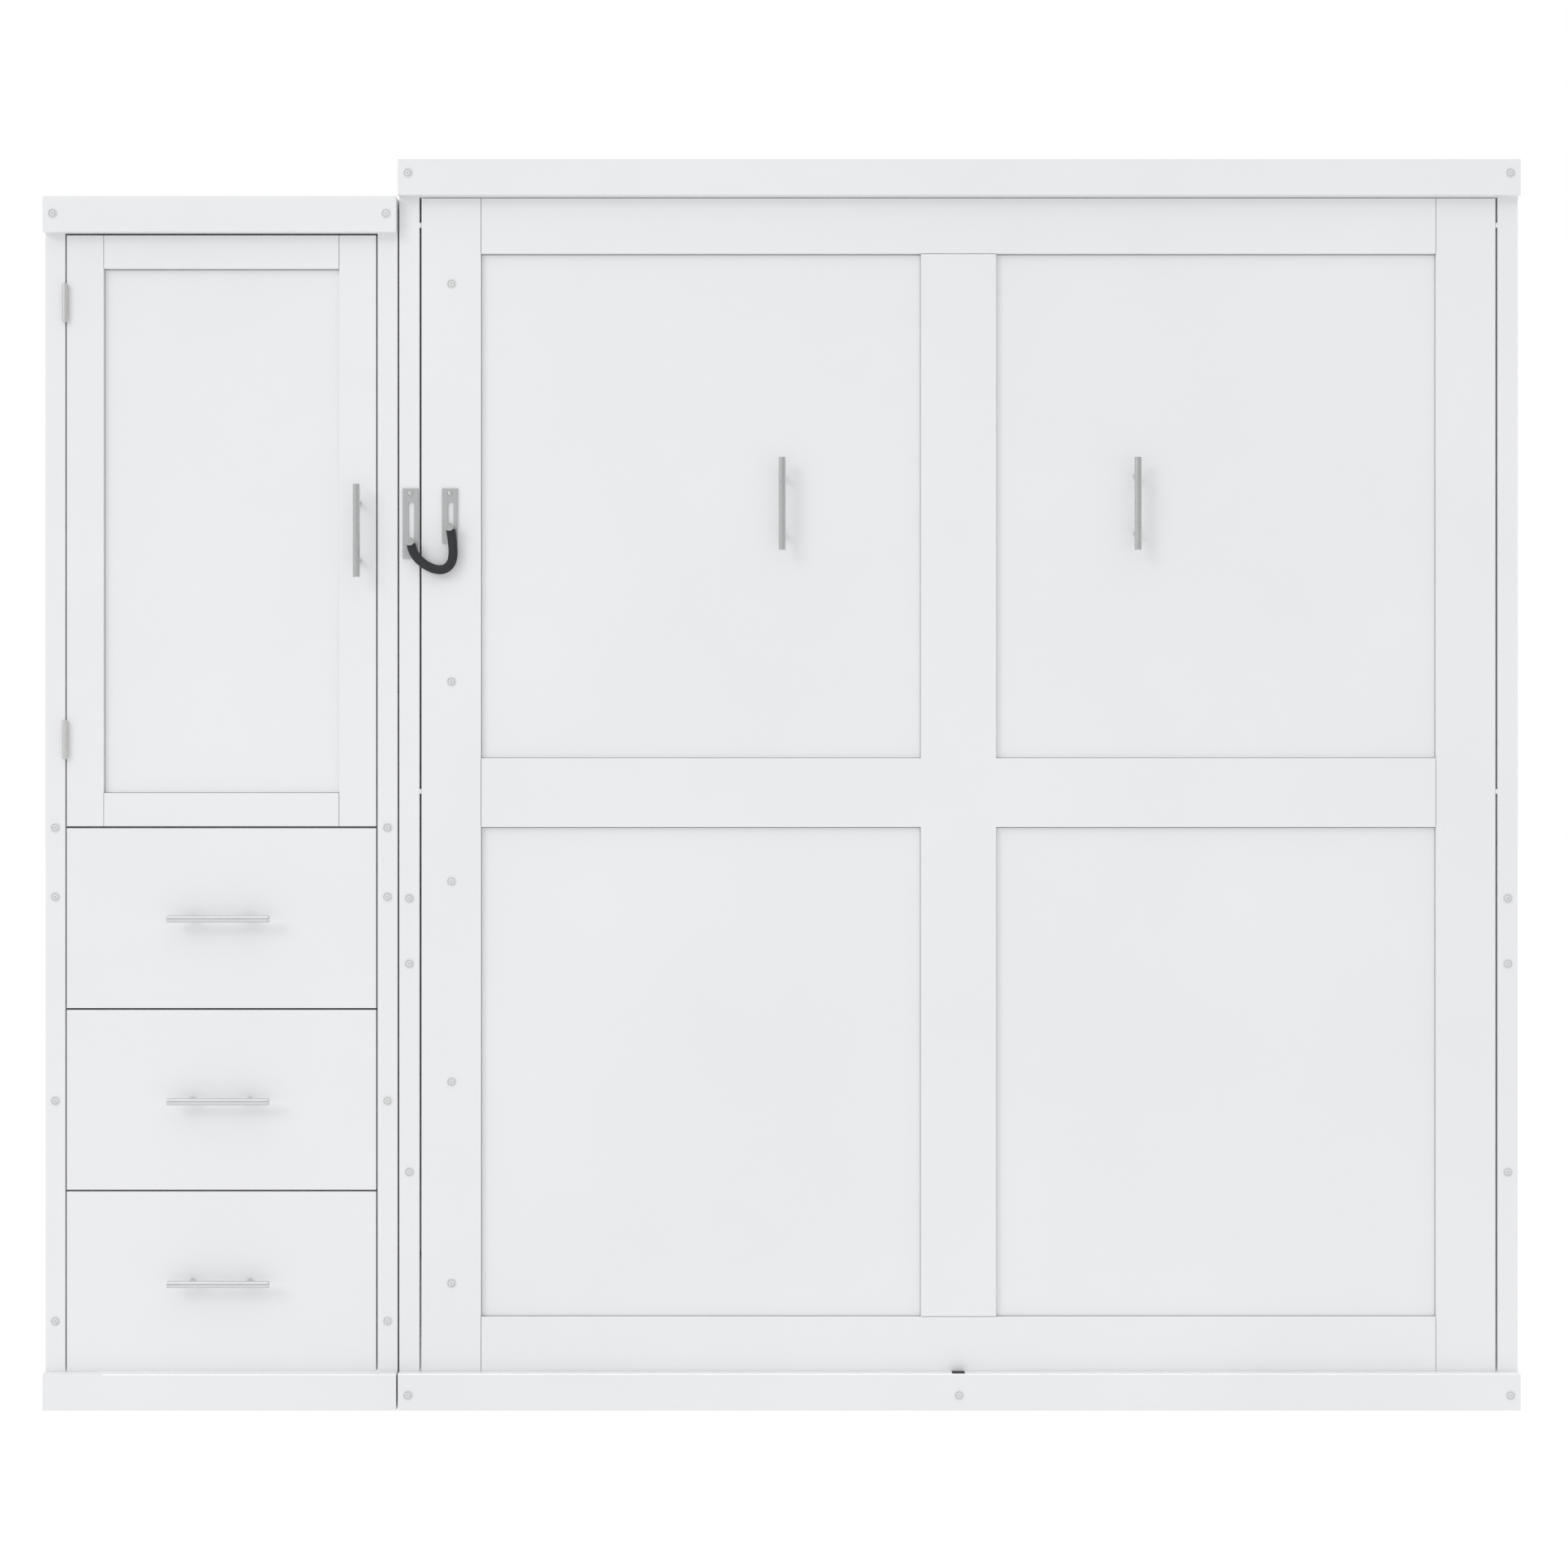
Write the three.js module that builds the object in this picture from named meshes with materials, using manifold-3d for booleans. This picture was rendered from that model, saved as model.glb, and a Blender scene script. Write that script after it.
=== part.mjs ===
// A wall bed: a tall cabinet whose front folds down as a bed, with a wardrobe tower beside it.
// Millimetres. X runs along the wall, -Y is the front and Z is up from the floor. While the pieces
// are made, Y is 0 on the face of the cabinets; the whole group is then centred front to back.
import * as THREE from 'three';
import { mergeVertices } from 'three/addons/utils/BufferGeometryUtils.js';
import { RoundedBoxGeometry } from 'three/addons/geometries/RoundedBoxGeometry.js';
import Module from 'manifold-3d';

const wasm = await Module();
wasm.setup();

// Driving dimensions
const WIDTH = 2480; // of the whole unit
const DEPTH = 480; // from the cabinet face to the wall
const CLEAR = 0.3; // between pieces that touch
const BOARD = 18; // thickness of the cabinet boards
const BACK = 12; // thickness of the back boards
const TRIM = 60; // height of the crown boards
const BED = { width: 1884, height: 2100, stile: 34, base: 62.3 };
const TOWER = { width: 593, height: 2038, stile: 33.5, base: 61.7 };
const BED_X = WIDTH / 2 - BED.width / 2;
const TOWER_X = TOWER.width / 2 - WIDTH / 2;
const SIDES = [['left', -1], ['right', 1]];

// The folding front of the bed
const FACE = { half: 904.5, bottom: 62, top: 2038, strip: 8, back: 30.3 };
const FACE_STILE = 100;
const FACE_RAIL = { bottom: 154, top: 1945 };
const CROSS = { low: 979, high: 1095, width: 127 };
const JOINT = 0.8; // visible joint between the strips of a framed front

// The bed's turning parts, all about axes along X
const PIVOT = { y: 115, z: 235 };
const PIVOT_PIN = 10;
const PLATE = { inner: 918.7, outer: 923.7, half: 42, lean: 25 };
const RAIL = { inner: 832, outer: 836, flange: 40, gauge: 4, top: 142, low: 35, high: 2030 };
const LEDGE = 64.6;
const LUG = { outer: 842, pivot: 30, stud: 16 };
const LEG = { y: 50, z: 2000, x: 856, crank: 52, bend: 16, bar: 9, axle: 829 };
const LEG_CAP = { radius: 13, height: 8 };
const LAP = 9; // of the foot leg's arms over its axle
const MATTRESS = { width: 1600, length: 2000, front: 92, thickness: 200, bottom: 30 };
const SLATS = { count: 14, width: 90, gauge: 9, low: 42, high: 2012, half: 828 };
const BEARER = { width: 34, height: 12 };

// The gas struts, from a stud on the cabinet to a stud on the bed
const STRUT_X = 878.5;
const STRUT_TOP = { y: 150, z: 830 };
const STUD = { reach: 75, angle: -60, bar: 4, end: 872 };
const STRUT = { tube: 12, top: 22, rod: 5, end: 505, bore: 335, overlap: 60, eye: 12 };
const STRUT_NECK = { radius: 5, top: 8, bottom: 24 };

// The tower's door and drawers
const DOOR = { half: 260.5, bottom: 980.4, top: 1975.6, stile: 62, rail: 56, back: 20.3 };
const HINGE = { x: -1205.6, y: -5, radius: 4.7, half: 31, heights: { top: 1861, bottom: 1126 } };
const DRAWER = { height: 303, front: 19, half: 250, depth: 410, wall: 12, box: 220, lift: 35 };
const DRAWERS = { bottom: 62, middle: 368, top: 674 };
const RUNNER = { rise: 120, half: 20, inner: 252.5, outer: 278.2, front: 25, back: 455 };
const RUNNER_STRIP = { half: 10, reach: 259.8, back: 425 };
const GROOVE = { half: 11, outer: 260.6, ease: 5 };
const UPRIGHT = { inner: 264, width: 40, places: [60, 380] };

// Bar handles, and the safety tether on two slotted plates
const HANDLE = { bar: 6, post: 5, spread: 48, out: 28, upright: 156, lying: 171 };
const BED_HANDLES = { left: 1, right: 598, z: 1522 };
const DOOR_HANDLE = { x: -712, z: 1476 };
const TETHER = { front: -3.3, neck: 4, head: 7, disc: 3, tip: -22.6, slot: 9.7, y: -11.4, cord: 7.7 };
const TETHER_PLATES = {
  cabinet: { x: -624.6, width: 26.8, low: 1431, slot: 1458.5 },
  bed: { x: -558.4, width: 26.5, low: 1457, slot: 1483 },
};
const TETHER_TOP = 1549;
const SLOT_TOP = 1522;
const STUD_X = { cabinet: -623.4, bed: -557 };
const TETHER_ROUTE = [
  [-622.4, 1454.3], [-620.9, 1447.5], [-617.5, 1439.5], [-612.0, 1431.5], [-604.5, 1424.2],
  [-595.5, 1418.0], [-585.5, 1413.6], [-575.5, 1411.6], [-566.8, 1412.7], [-559.6, 1417.3],
  [-554.6, 1424.8], [-552.3, 1434.2], [-552.0, 1444.8], [-552.9, 1456.6], [-554.4, 1468.5],
  [-556.1, 1478.8],
];

const FRONT = -(HANDLE.out + HANDLE.bar); // the handles reach furthest forward
const FACETS = 24;

const FINISHES = {
  white: { color: 0xececed, roughness: 0.45, metalness: 0 },
  nickel: { color: 0xb9bbbc, roughness: 0.35, metalness: 1 },
  steel: { color: 0x9a9c9e, roughness: 0.4, metalness: 0.9 },
  grey: { color: 0x6f7275, roughness: 0.5, metalness: 0.2 },
  fabric: { color: 0xe8e6e1, roughness: 0.9, metalness: 0 },
  birch: { color: 0xd9c19b, roughness: 0.6, metalness: 0 },
  cord: { color: 0x17181a, roughness: 0.8, metalness: 0 },
};

const unit = new THREE.Group();
unit.position.y = -(FRONT + DEPTH) / 2;

function piece(name, finish, geometry, parent = unit) {
  const mesh = new THREE.Mesh(geometry, new THREE.MeshStandardMaterial(FINISHES[finish]));
  mesh.name = name;
  parent.add(mesh);
}

// A box between two faces along each axis.
function block(x, y, z) {
  const geometry = new THREE.BoxGeometry(x[1] - x[0], y[1] - y[0], z[1] - z[0]);
  return geometry.translate((x[0] + x[1]) / 2, (y[0] + y[1]) / 2, (z[0] + z[1]) / 2);
}

// A round bar along one axis, between two places on it, through a point of the other two axes.
function bar(axis, along, across, radius) {
  const geometry = new THREE.CylinderGeometry(radius, radius, along[1] - along[0], FACETS);
  const middle = (along[0] + along[1]) / 2;
  if (axis === 'x') {
    return geometry.rotateZ(Math.PI / 2).translate(middle, across[0], across[1]);
  }
  if (axis === 'y') {
    return geometry.translate(across[0], middle, across[1]);
  }
  return geometry.rotateX(Math.PI / 2).translate(across[0], across[1], middle);
}

// An outline drawn in Y and Z, made solid between two places along X.
function plate(outline, x) {
  const options = { depth: x[1] - x[0], bevelEnabled: false, curveSegments: 12 };
  const turn = new THREE.Matrix4().makeBasis(
    new THREE.Vector3(0, 1, 0),
    new THREE.Vector3(0, 0, 1),
    new THREE.Vector3(1, 0, 0),
  );
  return new THREE.ExtrudeGeometry(outline, options).applyMatrix4(turn).translate(x[0], 0, 0);
}

// The same stretch on the left (-1) or right (1) of a centre line, lowest first.
function span(centre, sign, near, far) {
  return sign > 0 ? [centre + near, centre + far] : [centre - far, centre - near];
}

// The stretch that reaches equally far on both sides of a middle.
function about(middle, half) {
  return [middle - half, middle + half];
}

function solid(geometry) {
  const bare = geometry.clone();
  bare.deleteAttribute('normal');
  bare.deleteAttribute('uv');
  const merged = mergeVertices(bare, 1e-4);
  const vertProperties = merged.attributes.position.array;
  const triVerts = Uint32Array.from(merged.index.array);
  return new wasm.Manifold(new wasm.Mesh({ numProp: 3, vertProperties, triVerts }));
}

function surface(manifold) {
  const mesh = manifold.getMesh();
  const geometry = new THREE.BufferGeometry();
  geometry.setAttribute('position', new THREE.BufferAttribute(mesh.vertProperties, 3));
  geometry.setIndex(new THREE.BufferAttribute(mesh.triVerts, 1));
  geometry.computeVertexNormals();
  return geometry;
}

const join = (...parts) => surface(parts.map(solid).reduce((a, b) => a.add(b)));
const cut = (whole, ...tools) =>
  surface(tools.map(solid).reduce((a, b) => a.subtract(b), solid(whole)));

// Sides, face stiles, top, back, crown and base: what both cabinets have.
function carcase(name, x, size) {
  const half = size.width / 2;
  const under = size.height - BOARD - CLEAR;
  for (const [side, sign] of SIDES) {
    const depth = [BOARD + CLEAR, DEPTH];
    const board = span(x, sign, half - BOARD, half);
    piece(`${name}_side_${side}`, 'white', block(board, depth, [0, under]));
    const stile = span(x, sign, half - size.stile, half);
    piece(`${name}_stile_${side}`, 'white', block(stile, [0, BOARD], [0, under]));
  }
  const across = [x - half, x + half];
  const inside = [x - half + BOARD + CLEAR, x + half - BOARD - CLEAR];
  const applied = [-BOARD - CLEAR, -CLEAR];
  piece(`${name}_top`, 'white', block(across, [0, DEPTH], [size.height - BOARD, size.height]));
  piece(`${name}_back`, 'white', block(inside, [DEPTH - BACK, DEPTH], [0, under]));
  piece(`${name}_crown`, 'white', block(across, applied, [size.height - TRIM, size.height]));
  piece(`${name}_base`, 'white', block(across, applied, [0, size.base]));
}

function towerDivider() {
  const half = TOWER.width / 2 - BOARD - CLEAR;
  const middle = (DOOR.bottom + DRAWERS.top + DRAWER.height) / 2;
  const height = [middle - BOARD / 2, middle + BOARD / 2];
  const depth = [DOOR.back + 1, DEPTH - BACK - CLEAR];
  piece('tower_divider', 'white', block([TOWER_X - half, TOWER_X + half], depth, height));
}

// A strip frame glued on a back board: the strips' mitre-free joints show as fine lines.
function framedStrips(name, x, front, stile, rails) {
  const strip = [0, FACE.strip];
  const inner = front.half - stile - JOINT;
  for (const [side, sign] of SIDES) {
    const across = span(x, sign, front.half - stile, front.half);
    piece(`${name}_stile_${side}`, 'white', block(across, strip, [front.bottom, front.top]));
  }
  const across = [x - inner, x + inner];
  piece(`${name}_rail_bottom`, 'white', block(across, strip, [front.bottom, rails.bottom]));
  piece(`${name}_rail_top`, 'white', block(across, strip, [rails.top, front.top]));
  const board = [FACE.strip + CLEAR, front.back];
  const width = [x - front.half, x + front.half];
  piece(`${name}_panel`, 'white', block(width, board, [front.bottom, front.top]));
}

function faceCross() {
  const inner = FACE.half - FACE_STILE - JOINT;
  const strip = [0, FACE.strip];
  const rail = block([BED_X - inner, BED_X + inner], strip, [CROSS.low, CROSS.high]);
  const width = [BED_X - CROSS.width / 2, BED_X + CROSS.width / 2];
  const stile = block(width, strip, [FACE_RAIL.bottom + JOINT, FACE_RAIL.top - JOINT]);
  piece('face_cross', 'white', join(rail, stile));
}

// A bar on two posts. It stands on a face at Y = base, along X or Z.
function handle(name, axis, x, z, length, base) {
  const y = base - HANDLE.out;
  const middle = axis === 'x' ? x : z;
  const across = axis === 'x' ? [y, z] : [x, y];
  const grip = bar(axis, [middle - length / 2, middle + length / 2], across, HANDLE.bar);
  const posts = SIDES.map(([, sign]) => {
    const foot = axis === 'x' ? [x + sign * HANDLE.spread, z] : [x, z + sign * HANDLE.spread];
    return bar('y', [y, base - CLEAR], foot, HANDLE.post);
  });
  piece(name, 'nickel', join(grip, ...posts));
}

// Where a point of the bed's frame is, at a distance and an angle from the pivot.
function fromPivot(reach, degrees) {
  const angle = THREE.MathUtils.degToRad(degrees);
  return { y: PIVOT.y + reach * Math.cos(angle), z: PIVOT.z + reach * Math.sin(angle) };
}

const BED_STUD = fromPivot(STUD.reach, STUD.angle);

// The outline round two circles and the two lines that touch both.
function link(a, ra, b, rb) {
  const aim = Math.atan2(b.z - a.z, b.y - a.y);
  const lean = Math.acos((ra - rb) / Math.hypot(b.y - a.y, b.z - a.z));
  const shape = new THREE.Shape();
  shape.absarc(b.y, b.z, rb, aim - lean, aim + lean, false);
  shape.absarc(a.y, a.z, ra, aim + lean, aim - lean + 2 * Math.PI, false);
  return shape;
}

// The upright plate on a cabinet side, with the bed's pivot pin and the strut's upper stud.
function pivotPlate(side, sign) {
  const top = { y: PIVOT.y + PLATE.lean, z: STRUT_TOP.z };
  const upright = link(PIVOT, PLATE.half, top, PLATE.half);
  const on = (near, far) => span(BED_X, sign, near, far);
  const pin = bar('x', on(RAIL.inner - 3, PLATE.inner + 1), [PIVOT.y, PIVOT.z], PIVOT_PIN);
  const stud = bar('x', on(STUD.end - 1, PLATE.inner + 1), [STRUT_TOP.y, STRUT_TOP.z], STUD.bar);
  const body = plate(upright, on(PLATE.inner, PLATE.outer));
  piece(`pivot_plate_${side}`, 'steel', join(body, pin, stud));
}

// A steel channel along the mattress, with the lug that turns on the pivot pin.
function bedRail(side, sign) {
  const on = (near, far) => span(BED_X, sign, near, far);
  const length = [RAIL.low, RAIL.high];
  const foot = FACE.back + CLEAR;
  const web = block(on(RAIL.inner, RAIL.outer), [foot, RAIL.top], length);
  const width = on(RAIL.outer - RAIL.flange, RAIL.outer - 1);
  const shelf = (y) => block(width, [y, y + RAIL.gauge], length);
  const lug = plate(link(PIVOT, LUG.pivot, BED_STUD, LUG.stud), on(RAIL.outer - 1, LUG.outer));
  const stud = bar('x', on(LUG.outer - 1, STUD.end), [BED_STUD.y, BED_STUD.z], STUD.bar + 2);
  const through = on(RAIL.inner - 5, LUG.outer + 5);
  const pivotHole = bar('x', through, [PIVOT.y, PIVOT.z], PIVOT_PIN + 0.6);
  const legHole = bar('x', on(RAIL.inner - 5, RAIL.outer + 1), [LEG.y, LEG.z], LEG.bar + 0.7);
  const whole = join(web, shelf(foot), shelf(LEDGE - RAIL.gauge), lug, stud);
  piece(`bed_rail_${side}`, 'grey', cut(whole, pivotHole, legHole));
}

// Slats across two long bearers, which rest on the rails' ledges.
function slatDeck() {
  const top = LEDGE + CLEAR + BEARER.height;
  const bearers = SIDES.map(([, sign]) => {
    const across = span(BED_X, sign, SLATS.half - BEARER.width, SLATS.half);
    return block(across, [LEDGE + CLEAR, top], [SLATS.low, SLATS.high]);
  });
  const pitch = (SLATS.high - SLATS.low - SLATS.width) / (SLATS.count - 1);
  const slats = Array.from({ length: SLATS.count }, (_, i) => {
    const low = SLATS.low + i * pitch;
    const across = [BED_X - SLATS.half, BED_X + SLATS.half];
    return block(across, [top - 0.5, top + SLATS.gauge], [low, low + SLATS.width]);
  });
  piece('slat_deck', 'birch', join(...bearers, ...slats));
}

function mattress() {
  const { width, length, front, thickness, bottom } = MATTRESS;
  const geometry = new RoundedBoxGeometry(width, thickness, length, 3, 40);
  geometry.translate(BED_X, front + thickness / 2, bottom + length / 2);
  piece('mattress', 'fabric', surface(solid(geometry)));
}

// One arm of the foot leg: out of the axle, down the crank and back along the leg.
function legArm(sign) {
  const { y, z, x, crank, bend, bar: radius } = LEG;
  const point = (across, depth, height) => new THREE.Vector3(BED_X + sign * across, depth, height);
  const low = z - crank;
  const tip = y + PIVOT.z + y - PIVOT.y - 1;
  const path = new THREE.CurvePath();
  const line = (from, to) => path.add(new THREE.LineCurve3(from, to));
  const turn = (from, round, to) => path.add(new THREE.QuadraticBezierCurve3(from, round, to));
  line(point(LEG.axle - LAP, y, z), point(x - bend, y, z));
  turn(point(x - bend, y, z), point(x, y, z), point(x, y, z - bend));
  line(point(x, y, z - bend), point(x, y, low + bend));
  turn(point(x, y, low + bend), point(x, y, low), point(x, y + bend, low));
  line(point(x, y + bend, low), point(x, tip - LEG_CAP.height / 2, low));
  const ring = new THREE.Shape().absarc(0, 0, radius - 0.2, 0, 2 * Math.PI, false);
  const tube = new THREE.ExtrudeGeometry(ring, { steps: 56, extrudePath: path, curveSegments: 6 });
  const foot = bar('y', [tip - LEG_CAP.height, tip], [BED_X + sign * x, low], LEG_CAP.radius);
  return [tube, foot];
}

function footLeg() {
  const axle = bar('x', [BED_X - LEG.axle, BED_X + LEG.axle], [LEG.y, LEG.z], LEG.bar);
  piece('foot_leg', 'grey', join(axle, ...legArm(-1), ...legArm(1)));
}

// A gas strut hangs from the stud on the cabinet; its rod ends beside the stud on the bed.
function strut(side, sign) {
  const drop = STRUT_TOP.z - BED_STUD.z;
  const lean = BED_STUD.y - STRUT_TOP.y;
  const length = Math.hypot(drop, lean);
  const group = new THREE.Group();
  group.position.set(BED_X + sign * STRUT_X, STRUT_TOP.y, STRUT_TOP.z);
  group.rotation.x = Math.atan2(lean, drop);
  unit.add(group);
  const half = STRUT.eye / 2;
  const eye = bar('x', [-half, half], [0, 0], STRUT.tube - 1);
  const neck = bar('z', [-STRUT_NECK.bottom, -STRUT_NECK.top], [0, 0], STRUT_NECK.radius);
  const tube = bar('z', [-STRUT.end, -STRUT.top], [0, 0], STRUT.tube);
  const hole = bar('x', [-half - 1, half + 1], [0, 0], STUD.bar + 0.6);
  const bore = bar('z', [-STRUT.end - 1, -STRUT.bore], [0, 0], STRUT.rod + 0.5);
  piece(`strut_cylinder_${side}`, 'grey', cut(join(eye, neck, tube), hole, bore), group);
  const end = bar('x', [-half, half], [0, -length], STRUT.eye);
  const rod = bar('z', [-length, -STRUT.end + STRUT.overlap], [0, 0], STRUT.rod);
  piece(`strut_rod_${side}`, 'nickel', join(end, rod), group);
}

// A barrel in front of the gap at the door's edge, with the leaf that is screwed to the door.
function doorHinge(name, z) {
  const height = [z - HINGE.half, z + HINGE.half];
  const barrel = bar('z', height, [HINGE.x, HINGE.y], HINGE.radius);
  const leaf = block([HINGE.x + 0.2, HINGE.x + 1.2], [HINGE.y, DOOR.back - 2], height);
  piece(`door_hinge_${name}`, 'nickel', join(barrel, leaf));
}

function drawer(name, bottom) {
  const low = bottom + DRAWER.lift;
  const middle = bottom + DRAWER.height / 2;
  const front = [TOWER_X - DOOR.half, TOWER_X + DOOR.half];
  const face = block(front, [0, DRAWER.front], [bottom, bottom + DRAWER.height]);
  piece(`drawer_${name}_front`, 'white', face);
  const { half, wall } = DRAWER;
  const depth = [DRAWER.front + CLEAR, DRAWER.front + CLEAR + DRAWER.depth];
  const outer = block([TOWER_X - half, TOWER_X + half], depth, [low, low + DRAWER.box]);
  const hollow = [TOWER_X - half + wall, TOWER_X + half - wall];
  const well = block(hollow, [depth[0] + wall, depth[1] - wall], [low + wall / 2, low + DRAWER.box + 1]);
  const strips = SIDES.map(([, sign]) => {
    const across = span(TOWER_X, sign, half - 1, RUNNER_STRIP.reach);
    return block(across, [RUNNER.front, RUNNER_STRIP.back], about(bottom + RUNNER.rise, RUNNER_STRIP.half));
  });
  piece(`drawer_${name}_box`, 'birch', join(cut(outer, well), ...strips));
  handle(`drawer_${name}_handle`, 'x', TOWER_X, middle, HANDLE.lying, 0);
}

// Three grooved drawer runners on two uprights, screwed to one side of the tower.
function runnerRack(side, sign) {
  const on = (near, far) => span(TOWER_X, sign, near, far);
  const heights = Object.values(DRAWERS).map((bottom) => bottom + RUNNER.rise);
  const rails = heights.map((z) =>
    block(on(RUNNER.inner, RUNNER.outer), [RUNNER.front, RUNNER.back], about(z, RUNNER.half)));
  const through = [RUNNER.front - GROOVE.ease, RUNNER.back + GROOVE.ease];
  const grooves = heights.map((z) =>
    block(on(RUNNER.inner - 1, GROOVE.outer), through, about(z, GROOVE.half)));
  const tall = [heights[0] - RUNNER.half, heights[heights.length - 1] + RUNNER.half];
  const uprights = UPRIGHT.places.map((y) =>
    block(on(UPRIGHT.inner, RUNNER.outer), [y, y + UPRIGHT.width], tall));
  piece(`runner_rack_${side}`, 'steel', cut(join(...rails, ...uprights), ...grooves));
}

// A slotted plate, and the headed stud that holds one end of the cord in its slot.
function tetherAnchor(name) {
  const { x, width, low, slot } = TETHER_PLATES[name];
  const body = block([x - width / 2, x + width / 2], [TETHER.front, -CLEAR], [low, TETHER_TOP]);
  const through = [TETHER.front - 1, 1];
  const half = TETHER.slot / 2;
  const ends = [slot - 1, SLOT_TOP].map((z) => bar('y', through, [STUD_X[name], z], half));
  const middle = block([STUD_X[name] - half, STUD_X[name] + half], through, [slot - 1, SLOT_TOP]);
  piece(`tether_plate_${name}`, 'nickel', cut(body, join(...ends, middle)));
  const neck = bar('y', [TETHER.tip + 1, -CLEAR - 0.5], [STUD_X[name], slot], TETHER.neck);
  const head = bar('y', [TETHER.tip, TETHER.tip + TETHER.disc], [STUD_X[name], slot], TETHER.head);
  piece(`tether_stud_${name}`, 'nickel', join(neck, head));
}

function tetherCord() {
  const route = TETHER_ROUTE.map(([x, z]) => new THREE.Vector3(x, TETHER.y, z));
  const path = new THREE.CatmullRomCurve3(route);
  const ring = new THREE.Shape().absarc(0, 0, TETHER.cord, 0, 2 * Math.PI, false);
  const options = { steps: 30, extrudePath: path, curveSegments: 5 };
  piece('tether_cord', 'cord', new THREE.ExtrudeGeometry(ring, options));
}

carcase('bed', BED_X, BED);
carcase('tower', TOWER_X, TOWER);
towerDivider();
framedStrips('face', BED_X, FACE, FACE_STILE, FACE_RAIL);
faceCross();
for (const [side, sign] of SIDES) {
  const { [side]: x, z } = BED_HANDLES;
  handle(`bed_handle_${side}`, 'z', x, z, HANDLE.upright, FACE.strip + CLEAR);
  pivotPlate(side, sign);
  bedRail(side, sign);
  strut(side, sign);
  runnerRack(side, sign);
}
slatDeck();
mattress();
footLeg();
framedStrips('door', TOWER_X, DOOR, DOOR.stile, {
  bottom: DOOR.bottom + DOOR.rail,
  top: DOOR.top - DOOR.rail,
});
handle('door_handle', 'z', DOOR_HANDLE.x, DOOR_HANDLE.z, HANDLE.upright, 0);
for (const [name, z] of Object.entries(HINGE.heights)) {
  doorHinge(name, z);
}
for (const [name, bottom] of Object.entries(DRAWERS)) {
  drawer(name, bottom);
}
for (const name of ['cabinet', 'bed']) {
  tetherAnchor(name);
}
tetherCord();

export default unit;
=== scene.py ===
"""The looks of a white wall bed with a wardrobe tower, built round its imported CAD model.

Everything is in metres in the model's own frame: X along the wall, -Y the front, Z up.
"""

import math

import bmesh
import bpy
from mathutils import Matrix, Vector


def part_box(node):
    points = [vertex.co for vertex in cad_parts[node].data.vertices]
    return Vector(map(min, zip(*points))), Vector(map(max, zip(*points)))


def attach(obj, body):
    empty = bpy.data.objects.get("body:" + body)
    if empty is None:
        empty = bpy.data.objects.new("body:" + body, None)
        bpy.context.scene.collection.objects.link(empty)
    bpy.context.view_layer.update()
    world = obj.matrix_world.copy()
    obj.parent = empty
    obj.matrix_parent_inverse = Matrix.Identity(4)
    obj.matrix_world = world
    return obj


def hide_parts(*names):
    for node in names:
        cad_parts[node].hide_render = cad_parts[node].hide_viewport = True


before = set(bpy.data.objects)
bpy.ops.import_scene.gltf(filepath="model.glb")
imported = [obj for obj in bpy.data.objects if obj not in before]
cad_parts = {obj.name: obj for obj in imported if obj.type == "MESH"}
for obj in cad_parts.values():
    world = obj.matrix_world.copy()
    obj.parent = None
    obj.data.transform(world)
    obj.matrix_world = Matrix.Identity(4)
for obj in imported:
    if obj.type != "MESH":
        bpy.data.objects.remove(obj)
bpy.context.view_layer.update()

SIDES = {"left": -1, "right": 1}
DRAWERS = ("bottom", "middle", "top")
CABINETS = ("bed", "tower")

# Planes of the fronts, taken from the frame
FACE_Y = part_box("bed_stile_left")[0].y
TRIM_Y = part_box("bed_crown")[0].y
WALL_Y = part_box("bed_back")[1].y

# Camera: straight on, at eye height
CAMERA_X = 0.0041
CAMERA_AWAY = 4.695  # in front of the cabinet faces
CAMERA_HEIGHT = 1.0515
CAMERA_LENS = 64
SENSOR = 36

# The safety tether's cord, across and up, in front of the two slotted plates
CORD_Y = FACE_Y - 0.0114
CORD_RADIUS = 0.0077
CORD_ROUTE = (
    (-0.6224, 1.4543), (-0.6209, 1.4475), (-0.6175, 1.4395), (-0.6120, 1.4315),
    (-0.6045, 1.4242), (-0.5955, 1.4180), (-0.5855, 1.4136), (-0.5755, 1.4116),
    (-0.5668, 1.4127), (-0.5596, 1.4173), (-0.5546, 1.4248), (-0.5523, 1.4342),
    (-0.5520, 1.4448), (-0.5529, 1.4566), (-0.5544, 1.4685), (-0.5561, 1.4788),
)
BRAID_STRANDS = 11  # each way round
BRAID_TURN = 0.030  # length of one full turn of a strand
BRAID_DEPTH = 0.00065
CORD_SIDES = 66
CORD_STEP = 0.0005
CORD_ROUNDING = 0.0016  # of its cut ends
CORD_END_SHARE = 0.9  # of the radius, right at the cut


def scene_camera():
    data = bpy.data.cameras.new("camera")
    data.lens = CAMERA_LENS
    data.sensor_width = SENSOR
    camera = bpy.data.objects.new("camera", data)
    camera.location = (CAMERA_X, FACE_Y - CAMERA_AWAY, CAMERA_HEIGHT)
    camera.rotation_euler = (math.radians(90), 0, 0)
    bpy.context.scene.collection.objects.link(camera)
    bpy.context.scene.camera = camera


# Meshes


PIECE_CREASE = math.radians(35)  # edges sharper than this stay sharp


def shown(name, mesh, body, material, place=None):
    """Puts a mesh on show as one piece: it rides on a body and takes a finish."""
    piece = bpy.data.objects.new(name, mesh)
    bpy.context.scene.collection.objects.link(piece)
    if place is not None:
        piece.matrix_world = place
    mesh.materials.append(material)
    mesh.polygons.foreach_set("use_smooth", [True] * len(mesh.polygons))
    mesh.set_sharp_from_angle(angle=PIECE_CREASE)
    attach(piece, body)
    return piece


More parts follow.
